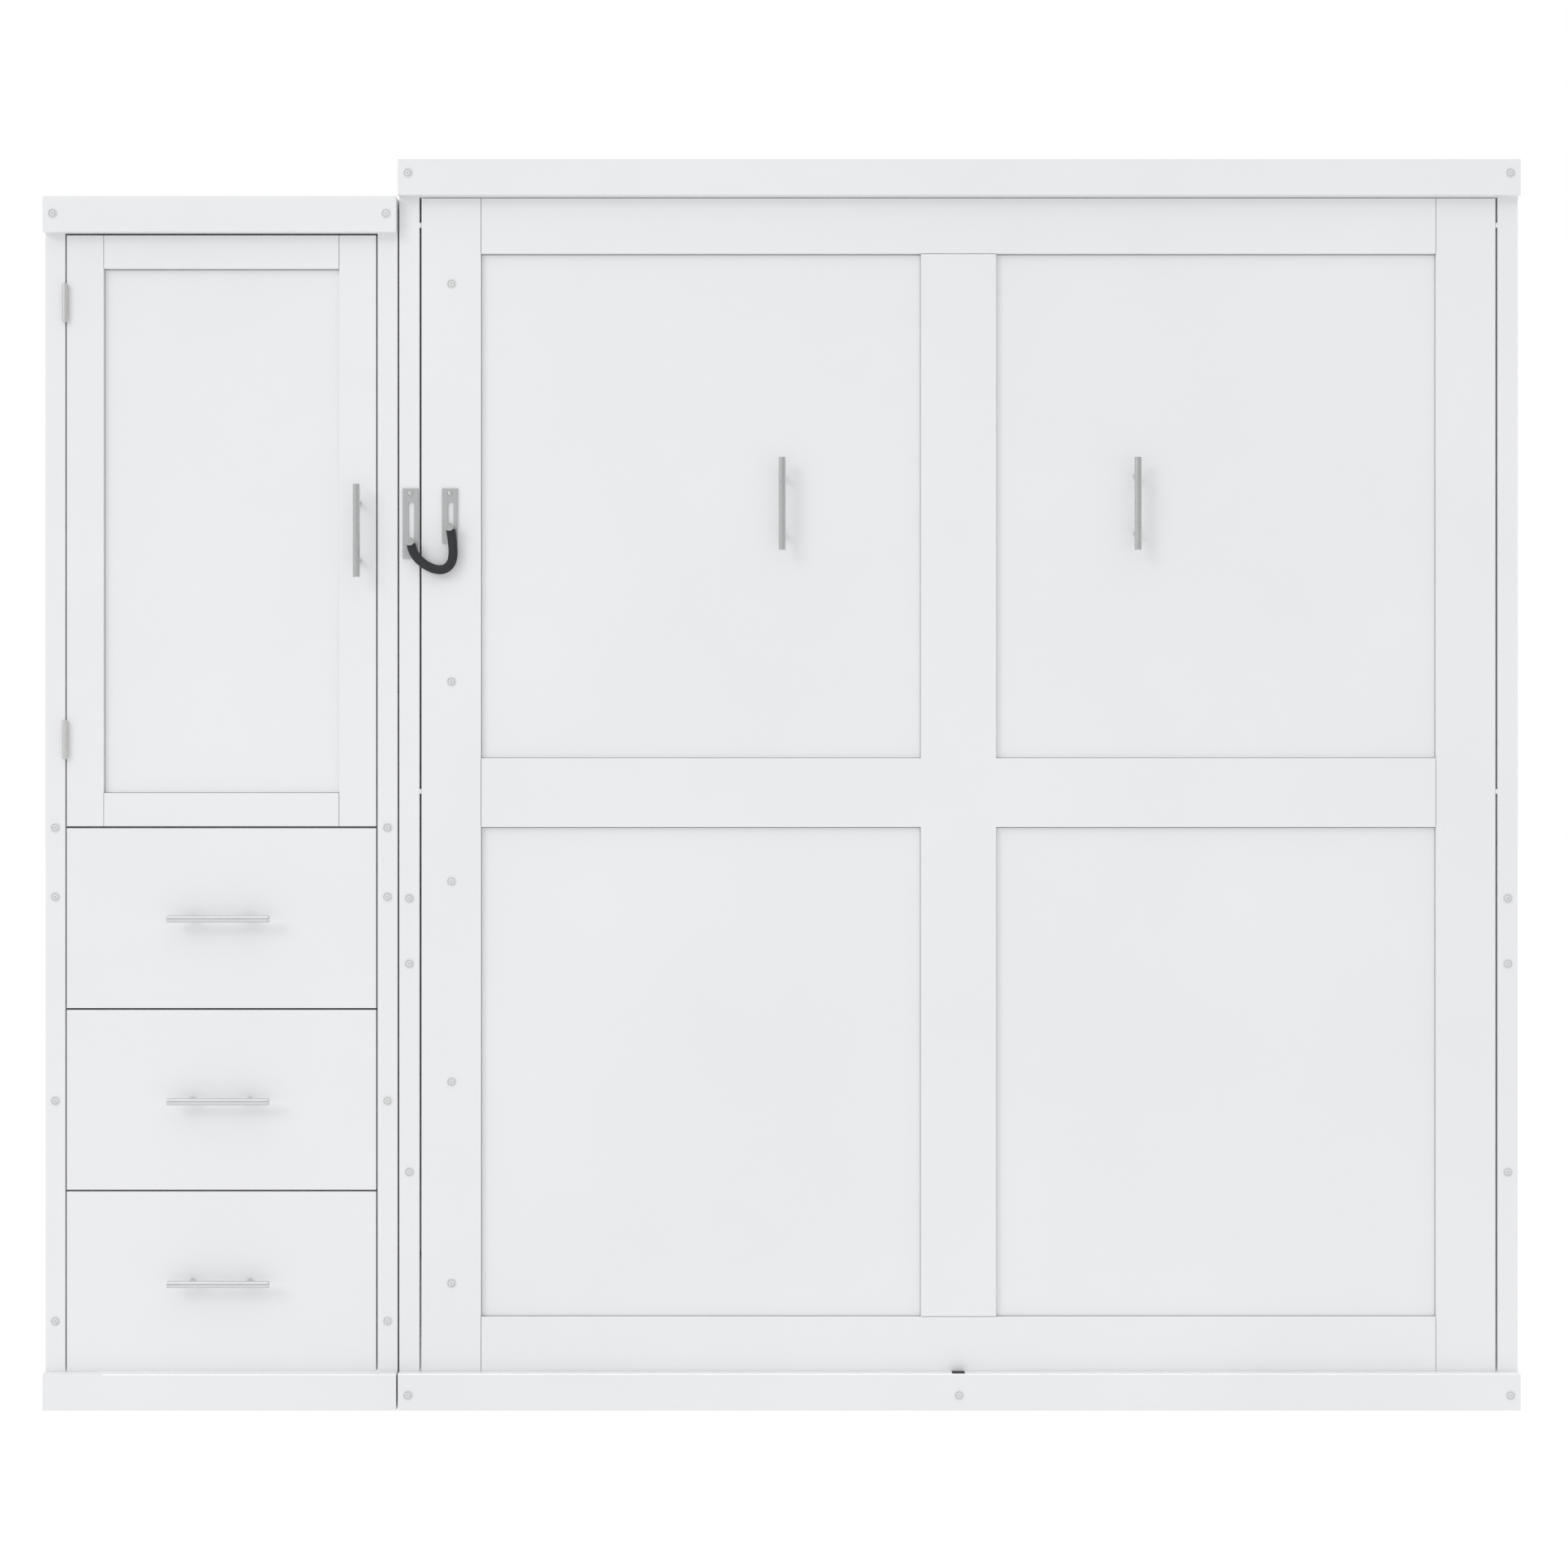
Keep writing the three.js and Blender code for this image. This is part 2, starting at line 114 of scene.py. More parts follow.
def mesh_of(form, name):
    """Turns a bmesh into a mesh, with its faces turned outwards."""
    bmesh.ops.recalc_face_normals(form, faces=form.faces)
    mesh = bpy.data.meshes.new(name)
    form.to_mesh(mesh)
    form.free()
    return mesh


def lathe(form, profile, place=None, sides=40):
    """Adds a turned solid about Z: the profile is (radius, height) points from axis to axis."""
    turn = Matrix.Rotation(2 * math.pi / sides, 3, "Z")
    place = place or Matrix.Identity(4)
    poles = [form.verts.new(place @ Vector((0, 0, profile[i][1]))) for i in (0, -1)]
    rings = []
    for radius, height in profile[1:-1]:
        point = Vector((radius, 0, height))
        loop = []
        for _ in range(sides):
            loop.append(form.verts.new(place @ point))
            point = turn @ point
        rings.append(loop)
    for i in range(sides):
        j = (i + 1) % sides
        form.faces.new((poles[0], rings[0][j], rings[0][i]))
        form.faces.new((poles[1], rings[-1][i], rings[-1][j]))
        for low, high in zip(rings, rings[1:]):
            form.faces.new((low[i], low[j], high[j], high[i]))


def ring(form, profile, place=None, sides=40):
    """Adds a turned ring about Z: the profile is a closed loop of (radius, height) points."""
    place = place or Matrix.Identity(4)
    rings = []
    for i in range(sides):
        turn = Matrix.Rotation(2 * math.pi * i / sides, 4, "Z")
        rings.append([form.verts.new(place @ turn @ Vector((r, 0, h))) for r, h in profile])
    count = len(profile)
    for i in range(sides):
        here, there = rings[i], rings[(i + 1) % sides]
        for a in range(count):
            b = (a + 1) % count
            form.faces.new((here[a], there[a], there[b], here[b]))


def rounded_box(form, low, high, bevel, segments=2):
    """Adds a box with bevelled edges between two corners."""
    made = bmesh.ops.create_cube(form, size=1)
    size = Vector(high) - Vector(low)
    middle = (Vector(high) + Vector(low)) / 2
    for v in made["verts"]:
        v.co = Vector((v.co.x * size.x, v.co.y * size.y, v.co.z * size.z)) + middle
    edges = list({e for v in made["verts"] for e in v.link_edges})
    bmesh.ops.bevel(
        form, geom=edges, offset=bevel, segments=segments, affect="EDGES", profile=0.5
    )


def facing(axis, point):
    """A place whose local Z points along an axis of the frame."""
    turns = {
        "-Y": Matrix.Rotation(math.radians(90), 4, "X"),
        "+Y": Matrix.Rotation(math.radians(-90), 4, "X"),
        "+X": Matrix.Rotation(math.radians(90), 4, "Y"),
        "-X": Matrix.Rotation(math.radians(-90), 4, "Y"),
        "+Z": Matrix.Identity(4),
        "-Z": Matrix.Rotation(math.radians(180), 4, "X"),
    }
    return Matrix.Translation(point) @ turns[axis]


# Materials


def finish(name, color, roughness, metallic=0.0, **sockets):
    """A material with constant values on its shader's own sockets."""
    material = bpy.data.materials.new(name)
    material.use_nodes = True
    shader = material.node_tree.nodes["Principled BSDF"]
    shader.inputs["Base Color"].default_value = (*color, 1)
    shader.inputs["Roughness"].default_value = roughness
    shader.inputs["Metallic"].default_value = metallic
    for socket, value in sockets.items():
        shader.inputs[socket.replace("_", " ")].default_value = value
    return material


def grain(material, scale, detail=3.0, stretch=(1, 1, 1), distortion=0.0):
    """Noise in the piece's own space, per metre, drawn out along the axes with a small stretch."""
    nodes, links = material.node_tree.nodes, material.node_tree.links
    place = nodes.new("ShaderNodeTexCoord")
    mapping = nodes.new("ShaderNodeMapping")
    mapping.inputs["Scale"].default_value = stretch
    texture = nodes.new("ShaderNodeTexNoise")
    texture.inputs["Scale"].default_value = scale
    texture.inputs["Detail"].default_value = detail
    texture.inputs["Distortion"].default_value = distortion
    links.new(place.outputs["Object"], mapping.inputs["Vector"])
    links.new(mapping.outputs["Vector"], texture.inputs["Vector"])
    return texture.outputs["Fac"]


def waves(material, scale, direction):
    """Bands across one axis of the piece's own space."""
    nodes, links = material.node_tree.nodes, material.node_tree.links
    place = nodes.new("ShaderNodeTexCoord")
    texture = nodes.new("ShaderNodeTexWave")
    texture.bands_direction = direction
    texture.inputs["Scale"].default_value = scale
    links.new(place.outputs["Object"], texture.inputs["Vector"])
    return texture.outputs["Fac"]


def cross_rib(material, scale):
    """Bands both ways over the faces that look along Y."""
    return blend_of(material, waves(material, scale, "X"), waves(material, scale, "Z"), "MULTIPLY")


def blend_of(material, a, b, kind):
    """Two values joined by a maths operation."""
    node = material.node_tree.nodes.new("ShaderNodeMath")
    node.operation = kind
    material.node_tree.links.new(a, node.inputs[0])
    material.node_tree.links.new(b, node.inputs[1])
    return node.outputs[0]


NOISE_SPAN = (0.3, 0.7)  # nearly all of a noise's values lie between these


def colour_from(material, value, dark, light, between=NOISE_SPAN):
    """The base colour, from dark to light as the value rises."""
    nodes, links = material.node_tree.nodes, material.node_tree.links
    ramp = nodes.new("ShaderNodeValToRGB")
    ramp.color_ramp.elements[0].position = between[0]
    ramp.color_ramp.elements[0].color = (*dark, 1)
    ramp.color_ramp.elements[1].position = between[1]
    ramp.color_ramp.elements[1].color = (*light, 1)
    links.new(value, ramp.inputs["Fac"])
    links.new(ramp.outputs["Color"], nodes["Principled BSDF"].inputs["Base Color"])


def roughness_from(material, value, low, high):
    """The roughness, from low to high as the value rises."""
    nodes, links = material.node_tree.nodes, material.node_tree.links
    span = nodes.new("ShaderNodeMapRange")
    span.inputs["From Min"].default_value = NOISE_SPAN[0]
    span.inputs["From Max"].default_value = NOISE_SPAN[1]
    span.inputs["To Min"].default_value = low
    span.inputs["To Max"].default_value = high
    links.new(value, span.inputs["Value"])
    links.new(span.outputs["Result"], nodes["Principled BSDF"].inputs["Roughness"])


def relief_from(material, value, height, strength):
    """A bump of some height in metres."""
    nodes, links = material.node_tree.nodes, material.node_tree.links
    bump = nodes.new("ShaderNodeBump")
    bump.inputs["Strength"].default_value = strength
    bump.inputs["Distance"].default_value = height
    links.new(value, bump.inputs["Height"])
    links.new(bump.outputs["Normal"], nodes["Principled BSDF"].inputs["Normal"])


def white_board():
    """Sprayed satin lacquer: a faint orange peel and the slightest unevenness of tone."""
    material = finish("white_board", (0.80, 0.806, 0.818), 0.42)
    colour_from(material, grain(material, 2.2), (0.788, 0.795, 0.808), (0.812, 0.818, 0.828))
    roughness_from(material, grain(material, 35), 0.38, 0.47)
    relief_from(material, grain(material, 520, detail=2), 0.00006, 0.35)
    return material


def satin_nickel(name, tone, roughness, scratched):
    """Brushed metal: fine scratches along the piece's own Z."""
    dark = (tone - 0.005, tone, tone + 0.005)
    light = (tone + 0.010, tone + 0.015, tone + 0.020)
    material = finish(name, light, roughness, 1.0, Anisotropic=0.35)
    scratches = grain(material, 2600, detail=3, stretch=(1, 1, 0.03))
    roughness_from(material, scratches, roughness - 0.03, roughness + 0.05)
    colour_from(material, grain(material, 30), dark, light)
    relief_from(material, scratches, 0.00001, scratched)
    return material


def zinc_steel():
    """Bright zinc plating with its faint crystalline mottle."""
    material = finish("zinc_steel", (0.55, 0.56, 0.57), 0.38, 1.0)
    mottle = grain(material, 160, detail=4)
    colour_from(material, mottle, (0.47, 0.485, 0.50), (0.63, 0.64, 0.645))
    roughness_from(material, grain(material, 90), 0.3, 0.5)
    relief_from(material, grain(material, 900), 0.00003, 0.4)
    return material


def powder_coat():
    """Dark grey powder coat with its fine leathery texture."""
    material = finish("powder_coat", (0.14, 0.145, 0.15), 0.5)
    colour_from(material, grain(material, 6), (0.125, 0.13, 0.135), (0.16, 0.165, 0.17))
    roughness_from(material, grain(material, 60), 0.44, 0.58)
    relief_from(material, grain(material, 1100, detail=2), 0.00008, 0.5)
    return material


def birch(name, along):
    """Pale birch, its grain drawn out along one axis, under a matt lacquer."""
    stretch = {"x": (0.05, 1, 1), "y": (1, 0.05, 1)}[along]
    material = finish(name, (0.69, 0.53, 0.33), 0.5)
    figure = grain(material, 34, detail=5, stretch=stretch, distortion=0.8)
    colour_from(material, figure, (0.63, 0.48, 0.30), (0.78, 0.65, 0.46))
    pores = grain(material, 900, detail=2, stretch=stretch)
    roughness_from(material, pores, 0.42, 0.62)
    relief_from(material, pores, 0.0001, 0.5)
    return material


def ticking():
    """Knitted mattress cover: a fine rib both ways, slightly fuzzy."""
    material = finish("ticking", (0.68, 0.665, 0.63), 0.9, 0.0, Sheen_Weight=0.1)
    colour_from(material, grain(material, 70), (0.655, 0.642, 0.608), (0.70, 0.688, 0.655))
    roughness_from(material, grain(material, 120), 0.82, 0.96)
    relief_from(material, cross_rib(material, 190), 0.0005, 0.7)
    return material


def webbing():
    """Woven tape: tight ribs across its length."""
    material = finish("webbing", (0.10, 0.105, 0.115), 0.85, 0.0, Sheen_Weight=0.3)
    colour_from(material, grain(material, 60), (0.085, 0.09, 0.10), (0.13, 0.135, 0.145))
    relief_from(material, cross_rib(material, 330), 0.0003, 0.7)
    return material


def braid_fibre():
    """Near-black polyester yarn, with painted light: paler on top of each strand and darker where
    strands dip, varied by a random yarn tone.
    """
    material = finish("braid_fibre", (0.016, 0.017, 0.019), 0.62, Specular_IOR_Level=0.15)
    yarn = grain(material, 1500, detail=3)
    height = material.node_tree.nodes.new("ShaderNodeAttribute")
    height.attribute_name = "strand"
    # Painted highlight on strand tops and painted shade where strands dip, varied by the yarn noise
    yarn_and_painted_light = blend_of(material, yarn, height.outputs["Fac"], "MULTIPLY")
    colour_from(material, yarn_and_painted_light, (0.003, 0.0033, 0.004), (0.115, 0.118, 0.124), (0.26, 0.62))
    roughness_from(material, yarn, 0.5, 0.75)
    relief_from(material, yarn, 0.00012, 0.6)
    return material


def moulded(name, color):
    """Plain moulded plastic or rubber with a spark-eroded texture."""
    material = finish(name, color, 0.55)
    dark = tuple(0.97 * c for c in color)
    light = tuple(1.02 * c for c in color)
    colour_from(material, grain(material, 40), dark, light)
    relief_from(material, grain(material, 1400), 0.00006, 0.5)
    return material


WHITE = white_board()
NICKEL = satin_nickel("satin_nickel", 0.65, 0.28, 0.2)
PLATE = satin_nickel("plate_nickel", 0.55, 0.44, 0.05)
ZINC = zinc_steel()
POWDER = powder_coat()
BIRCH_SLATS = birch("birch_slats", "x")
BIRCH_BOX = birch("birch_box", "y")
TICKING = ticking()
WEBBING = webbing()
BRAID = braid_fibre()
BLACK = moulded("black_plastic", (0.02, 0.02, 0.022))
GREY_CAP = moulded("grey_cap", (0.69, 0.695, 0.70))
# Painted shade: mid grey for the dark lines round the recessed boards
SHADE_LINE_PAINT = moulded("painted_shade_grey", (0.27, 0.275, 0.28))
WHITE_CAP = moulded("white_cap", (0.82, 0.825, 0.83))
# Painted highlight: near white for the bright line along the base boards' top edges, where light
# from above falls
HIGHLIGHT_PAINT = moulded("painted_highlight_white", (0.94, 0.945, 0.95))


# The tether's cord


STRAND_FULLNESS = 0.7  # the lower, the flatter a strand's top
UNDER_STRAND = 0.55  # height of a strand where another passes over it


def curve_points(route, y, step):
    """Points a step apart on the smooth curve through a route."""
    points = [Vector((x, y, z)) for x, z in route]
    ends = [2 * points[0] - points[1]] + points + [2 * points[-1] - points[-2]]
    line = []
    for a, b, c, d in zip(ends, ends[1:], ends[2:], ends[3:]):
        count = max(2, round((c - b).length / step))
        for i in range(count):
            t = i / count
            bend = (2 * b, c - a, 2 * a - 5 * b + 4 * c - d, 3 * b - a - 3 * c + d)
            line.append(sum((p * t**k for k, p in enumerate(bend)), Vector()) / 2)
    line.append(points[-1])
    return line


def braid_height(round_part, along):
    """0 to 1 over a plain braid: two families of strands that pass over and under in turn."""
    first = BRAID_STRANDS * (round_part + along / BRAID_TURN)
    second = BRAID_STRANDS * (round_part - along / BRAID_TURN)
    on_top = (math.floor(first) + math.floor(second)) % 2 == 0
    heights = [math.sin(math.pi * (phase % 1)) ** STRAND_FULLNESS for phase in (first, second)]
    upper, lower = heights if on_top else reversed(heights)
    return max(upper, UNDER_STRAND * lower)


def tether_cord():
    """The braided cord, a closed tube from one stud to the other."""
    line = curve_points(CORD_ROUTE, CORD_Y, CORD_STEP)
    lengths = [0.0]
    for a, b in zip(line, line[1:]):
        lengths.append(lengths[-1] + (b - a).length)
    form = bmesh.new()
    # The braid's height at each point; the cord's material paints highlight on strand tops and
    # shade between them from it
    strand = form.verts.layers.float.new("strand")
    rings = []
    for i, point in enumerate(line):
        tangent = (line[min(i + 1, len(line) - 1)] - line[max(i - 1, 0)]).normalized()
        out = Vector((0, -1, 0))
        side = tangent.cross(out)
        from_end = min(lengths[i], lengths[-1] - lengths[i])
        rounding = min(1.0, from_end / CORD_ROUNDING)
        shrink = CORD_END_SHARE + (1 - CORD_END_SHARE) * math.sqrt(1 - (1 - rounding) ** 2)
        ring_verts = []
        for k in range(CORD_SIDES):
            part = k / CORD_SIDES
            high = braid_height(part, lengths[i])
            radius = shrink * (CORD_RADIUS - BRAID_DEPTH * (1 - high))
            angle = 2 * math.pi * part
            vert = form.verts.new(point + radius * (math.cos(angle) * out + math.sin(angle) * side))
            vert[strand] = high
            ring_verts.append(vert)
        rings.append(ring_verts)
    for low, high in zip(rings, rings[1:]):
        for k in range(CORD_SIDES):
            n = (k + 1) % CORD_SIDES
            form.faces.new((low[k], low[n], high[n], high[k]))
    for end, point in ((rings[0], line[0]), (rings[-1], line[-1])):
        middle = form.verts.new(point)
        for k in range(CORD_SIDES):
            form.faces.new((end[k], end[(k + 1) % CORD_SIDES], middle))
    cord = shown("tether_braid", mesh_of(form, "tether_braid"), "tether", BRAID)
    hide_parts("tether_cord")


scene_camera()
tether_cord()


# CAD nodes: their own shapes, with softened edges


def smooth_by_angle(angle):
    """A modifier group that shades faces smooth and keeps edges sharper than the angle."""
    group = bpy.data.node_groups.new("smooth_by_angle", "GeometryNodeTree")
    group.interface.new_socket("Geometry", in_out="INPUT", socket_type="NodeSocketGeometry")
    group.interface.new_socket("Geometry", in_out="OUTPUT", socket_type="NodeSocketGeometry")
    nodes, links = group.nodes, group.links
    start = nodes.new("NodeGroupInput")
    end = nodes.new("NodeGroupOutput")
    faces = nodes.new("GeometryNodeSetShadeSmooth")
    edges = nodes.new("GeometryNodeSetShadeSmooth")
    edges.domain = "EDGE"
    edges.inputs["Shade Smooth"].default_value = False
    measure = nodes.new("GeometryNodeInputMeshEdgeAngle")
    sharp = nodes.new("FunctionNodeCompare")
    sharp.inputs["B"].default_value = angle
    links.new(measure.outputs["Unsigned Angle"], sharp.inputs["A"])
    links.new(start.outputs["Geometry"], faces.inputs["Geometry"])
    links.new(faces.outputs["Geometry"], edges.inputs["Geometry"])
    links.new(sharp.outputs["Result"], edges.inputs["Selection"])
    links.new(edges.outputs["Geometry"], end.inputs["Geometry"])
    return group


NODE_CREASE = math.radians(38)
WELD_REACH = 0.000002
SMOOTHING = smooth_by_angle(NODE_CREASE)


def dress(node, material, edge):
    """Gives a CAD node its material and small rounded edges, by modifiers only."""
    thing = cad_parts[node]
    thing.data.materials.clear()
    thing.data.materials.append(material)
    weld = thing.modifiers.new("weld", "WELD")
    weld.merge_threshold = WELD_REACH
    bevel = thing.modifiers.new("edges", "BEVEL")
    bevel.width = edge
    bevel.segments = 2
    bevel.limit_method = "ANGLE"
    bevel.angle_limit = NODE_CREASE
    smooth = thing.modifiers.new("smooth", "NODES")
    smooth.node_group = SMOOTHING
    weighted = thing.modifiers.new("weighted", "WEIGHTED_NORMAL")
    weighted.keep_sharp = True


BOARD_EDGE = 0.0005
METAL_EDGE = 0.0004


def dress_frame():
    for cabinet in CABINETS:
        for part in ("top", "back", "crown", "base"):
            dress(f"{cabinet}_{part}", WHITE, BOARD_EDGE)
        for side in SIDES:
            dress(f"{cabinet}_side_{side}", WHITE, BOARD_EDGE)
            dress(f"{cabinet}_stile_{side}", WHITE, BOARD_EDGE)
    dress("tower_divider", WHITE, BOARD_EDGE)
    for front in ("face", "door"):
        for part in ("panel", "stile_left", "stile_right", "rail_bottom", "rail_top"):
            dress(f"{front}_{part}", WHITE, BOARD_EDGE)
    dress("face_cross", WHITE, BOARD_EDGE)
    for name in DRAWERS:
        dress(f"drawer_{name}_front", WHITE, BOARD_EDGE)
        dress(f"drawer_{name}_box", BIRCH_BOX, BOARD_EDGE)
    for side in SIDES:
        dress(f"pivot_plate_{side}", ZINC, METAL_EDGE)
        dress(f"runner_rack_{side}", ZINC, METAL_EDGE)
        dress(f"bed_rail_{side}", POWDER, METAL_EDGE)
        dress(f"strut_cylinder_{side}", POWDER, METAL_EDGE)
        dress(f"strut_rod_{side}", NICKEL, METAL_EDGE)
    for anchor in ("cabinet", "bed"):
        dress(f"tether_plate_{anchor}", PLATE, METAL_EDGE)
        dress(f"tether_stud_{anchor}", NICKEL, METAL_EDGE)
    dress("slat_deck", BIRCH_SLATS, BOARD_EDGE)
    dress("foot_leg", POWDER, METAL_EDGE)


dress_frame()


# Painted shade: a fine dark line on each recessed board, where it meets the frame round it


# Painted shade: the dark lines are wider along the top of each opening, for the shade under the
# rail above
SHADE_LINE_WIDTH = 0.0009
SHADE_LINE_WIDTH_TOP = 0.0015
SHADE_LINE_PROUD = 0.0002


def steps(node, axis):
    """The places along one axis where a node has corners, lowest first."""
    return sorted({round(v.co[axis], 4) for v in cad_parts[node].data.vertices})


def painted_shade_lines(front, body, openings):
    """Painted shade: thin dark strips on the board, along the four sides of each opening in its
    frame.
    """
    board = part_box(f"{front}_panel")[0].y
    strips = bmesh.new()
    for (left, right), (bottom, top) in openings:
        sides = (
            ((left, bottom), (left + SHADE_LINE_WIDTH, top)),
            ((right - SHADE_LINE_WIDTH, bottom), (right, top)),
            ((left + SHADE_LINE_WIDTH, bottom), (right - SHADE_LINE_WIDTH, bottom + SHADE_LINE_WIDTH)),
            ((left + SHADE_LINE_WIDTH, top - SHADE_LINE_WIDTH_TOP), (right - SHADE_LINE_WIDTH, top)),
        )
        for (x0, z0), (x1, z1) in sides:
            low, high = (x0, board - SHADE_LINE_PROUD, z0), (x1, board + SHADE_LINE_PROUD, z1)
            rounded_box(strips, low, high, SHADE_LINE_PROUD / 2, segments=1)
    name = f"{front}_painted_shade_lines"
    shown(name, mesh_of(strips, name), body, SHADE_LINE_PAINT)


def panel_painted_shade():
    """The painted shade lines round the door's one opening and the folding front's four."""
    door = (
        (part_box("door_stile_left")[1].x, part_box("door_stile_right")[0].x),
        (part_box("door_rail_bottom")[1].z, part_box("door_rail_top")[0].z),
    )
    painted_shade_lines("door", "door", [door])
    cross_x, cross_z = steps("face_cross", 0), steps("face_cross", 2)
    across = (
        (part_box("face_stile_left")[1].x, cross_x[1]),
        (cross_x[-2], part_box("face_stile_right")[0].x),
    )
    up = (
        (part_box("face_rail_bottom")[1].z, cross_z[1]),
        (cross_z[-2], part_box("face_rail_top")[0].z),
    )
    painted_shade_lines("face", "bed", [(x, z) for x in across for z in up])


panel_painted_shade()


# Bar handles


HANDLE_BAR = 0.006
HANDLE_POST = 0.005
HANDLE_SPREAD = 0.048
HANDLE_CHAMFER = 0.0007
POST_NECK = 0.9 * HANDLE_POST  # where a post is turned down to enter the bar
POST_NECK_FROM = 0.0082  # from the bar's axis
POST_FULL_FROM = 0.0090
POST_END = 0.0040


def bar_handle(node, body):
    """Replaces a plain handle with a turned bar on two posts; its own Z runs along the bar."""
    low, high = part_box(node)
    size = high - low
    lying = size.x > size.z
    length = size.x if lying else size.z
    middle = (low + high) / 2
    axis_y = low.y + HANDLE_BAR
    half, chamfer = length / 2, HANDLE_CHAMFER
    rim = HANDLE_BAR - chamfer
    form = bmesh.new()
    ends = [(0, -half), (rim, -half), (HANDLE_BAR, -half + chamfer)]
    lathe(form, ends + [(r, -h) for r, h in reversed(ends)], sides=64)
    reach = high.y - axis_y
    post = (
        (0, reach), (HANDLE_POST, reach), (HANDLE_POST, POST_FULL_FROM),
        (POST_NECK, POST_NECK_FROM), (POST_NECK, POST_END), (0, POST_END),
    )
    for sign in (-1, 1):
        place = Matrix.Translation((0, 0, sign * HANDLE_SPREAD)) @ facing("+Y", (0, 0, 0))
        lathe(form, post, place, sides=40)
    place = Matrix.Translation((middle.x, axis_y, middle.z))
    if lying:
        place = place @ Matrix.Rotation(math.radians(90), 4, "Y")
    name = f"{node}_bar"
    made = shown(name, mesh_of(form, name), body, NICKEL, place)
    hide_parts(node)


for side in SIDES:
    bar_handle(f"bed_handle_{side}", "bed")
bar_handle("door_handle", "door")
for name in DRAWERS:
    bar_handle(f"drawer_{name}_handle", f"drawer_{name}")


# Screw heads


CAP_PROFILE = (
    (0, 0.0006), (0.0013, 0.0006), (0.0015, 0.0018), (0.0034, 0.0018), (0.0046, 0.0013),
    (0.0049, 0.0001), (0.0061, 0.0001), (0.0064, 0.0013), (0.0074, 0.0013), (0.0080, 0.0003),
    (0.0080, -0.0003), (0, -0.0003),
)
SCREW_HEIGHTS_TOWER = (0.978, 0.8615, 0.518, 0.147)
SCREW_HEIGHTS_BED = (0.859, 0.749, 0.398)
SCREW_HEIGHTS_FACE = (1.894, 1.224, 0.8875, 0.550, 0.211)
FACE_SCREW_INSET = 0.0505  # from the folding front's left edge
CROWN_SCREW_DROPS = {"bed": 0.023, "tower": 0.029}  # from the crown's top
BASE_SCREW_HEIGHT = 0.026
PLATE_SCREW_HEIGHT = 1.5405
PLATE_SCREW_SCALE = 0.62
TOP_CAP_SCALE = 0.75
CAP_SINK = 0.0004
TOP_SCREW_PLACES = (-0.150, 0.020, 0.190)
BACK_SCREW_INSET = 0.014
BACK_SCREW_PITCH = 0.230
BACK_SCREW_PROFILE = (
    (0, -0.0003), (0.0035, -0.0003), (0.0040, 0.0000), (0.0038, 0.0006), (0.0024, 0.0011),
    (0.0010, 0.0012), (0.0008, 0.0007), (0, 0.0007),
)


def centre(node):
    low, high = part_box(node)
    return (low + high) / 2


def screw_cap(form, point, axis="-Y", scale=1.0):
    """A low dome with a small socket in its middle, and a raised rim round it."""
    lathe(form, CAP_PROFILE, facing(axis, point) @ Matrix.Scale(scale, 4), sides=32)


def front_screws():
    """The caps seen from the front: on crowns and base, on the cabinets, on the folding front."""
    on_cabinet = []
    for cabinet, drop in CROWN_SCREW_DROPS.items():
        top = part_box(f"{cabinet}_crown")[1].z
        for side in SIDES:
            x = centre(f"{cabinet}_stile_{side}").x
            on_cabinet.append((x, TRIM_Y, top - drop))
    for node in ("bed_stile_left", "bed_base", "bed_stile_right"):
        on_cabinet.append((centre(node).x, TRIM_Y, BASE_SCREW_HEIGHT))
    for cabinet, heights in (("tower", SCREW_HEIGHTS_TOWER), ("bed", SCREW_HEIGHTS_BED)):
        for side in SIDES:
            x = centre(f"{cabinet}_stile_{side}").x
            on_cabinet += [(x, FACE_Y, z) for z in heights]
    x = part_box("face_stile_left")[0].x + FACE_SCREW_INSET
    on_bed = [(x, FACE_Y, z) for z in SCREW_HEIGHTS_FACE]
    for body, points in (("cabinet", on_cabinet), ("bed", on_bed)):
        caps = bmesh.new()
        for point in points:
            screw_cap(caps, point)
        name = f"screw_caps_{body}"
        shown(name, mesh_of(caps, name), body, GREY_CAP)


def plate_screws():
    """The screw at the top of each slotted plate."""
    for body in ("cabinet", "bed"):
        plate = f"tether_plate_{body}"
        point = (centre(plate).x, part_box(plate)[0].y, PLATE_SCREW_HEIGHT)
        caps = bmesh.new()
        screw_cap(caps, point, scale=PLATE_SCREW_SCALE)
        name = f"plate_screw_{body}"
        shown(name, mesh_of(caps, name), body, NICKEL)


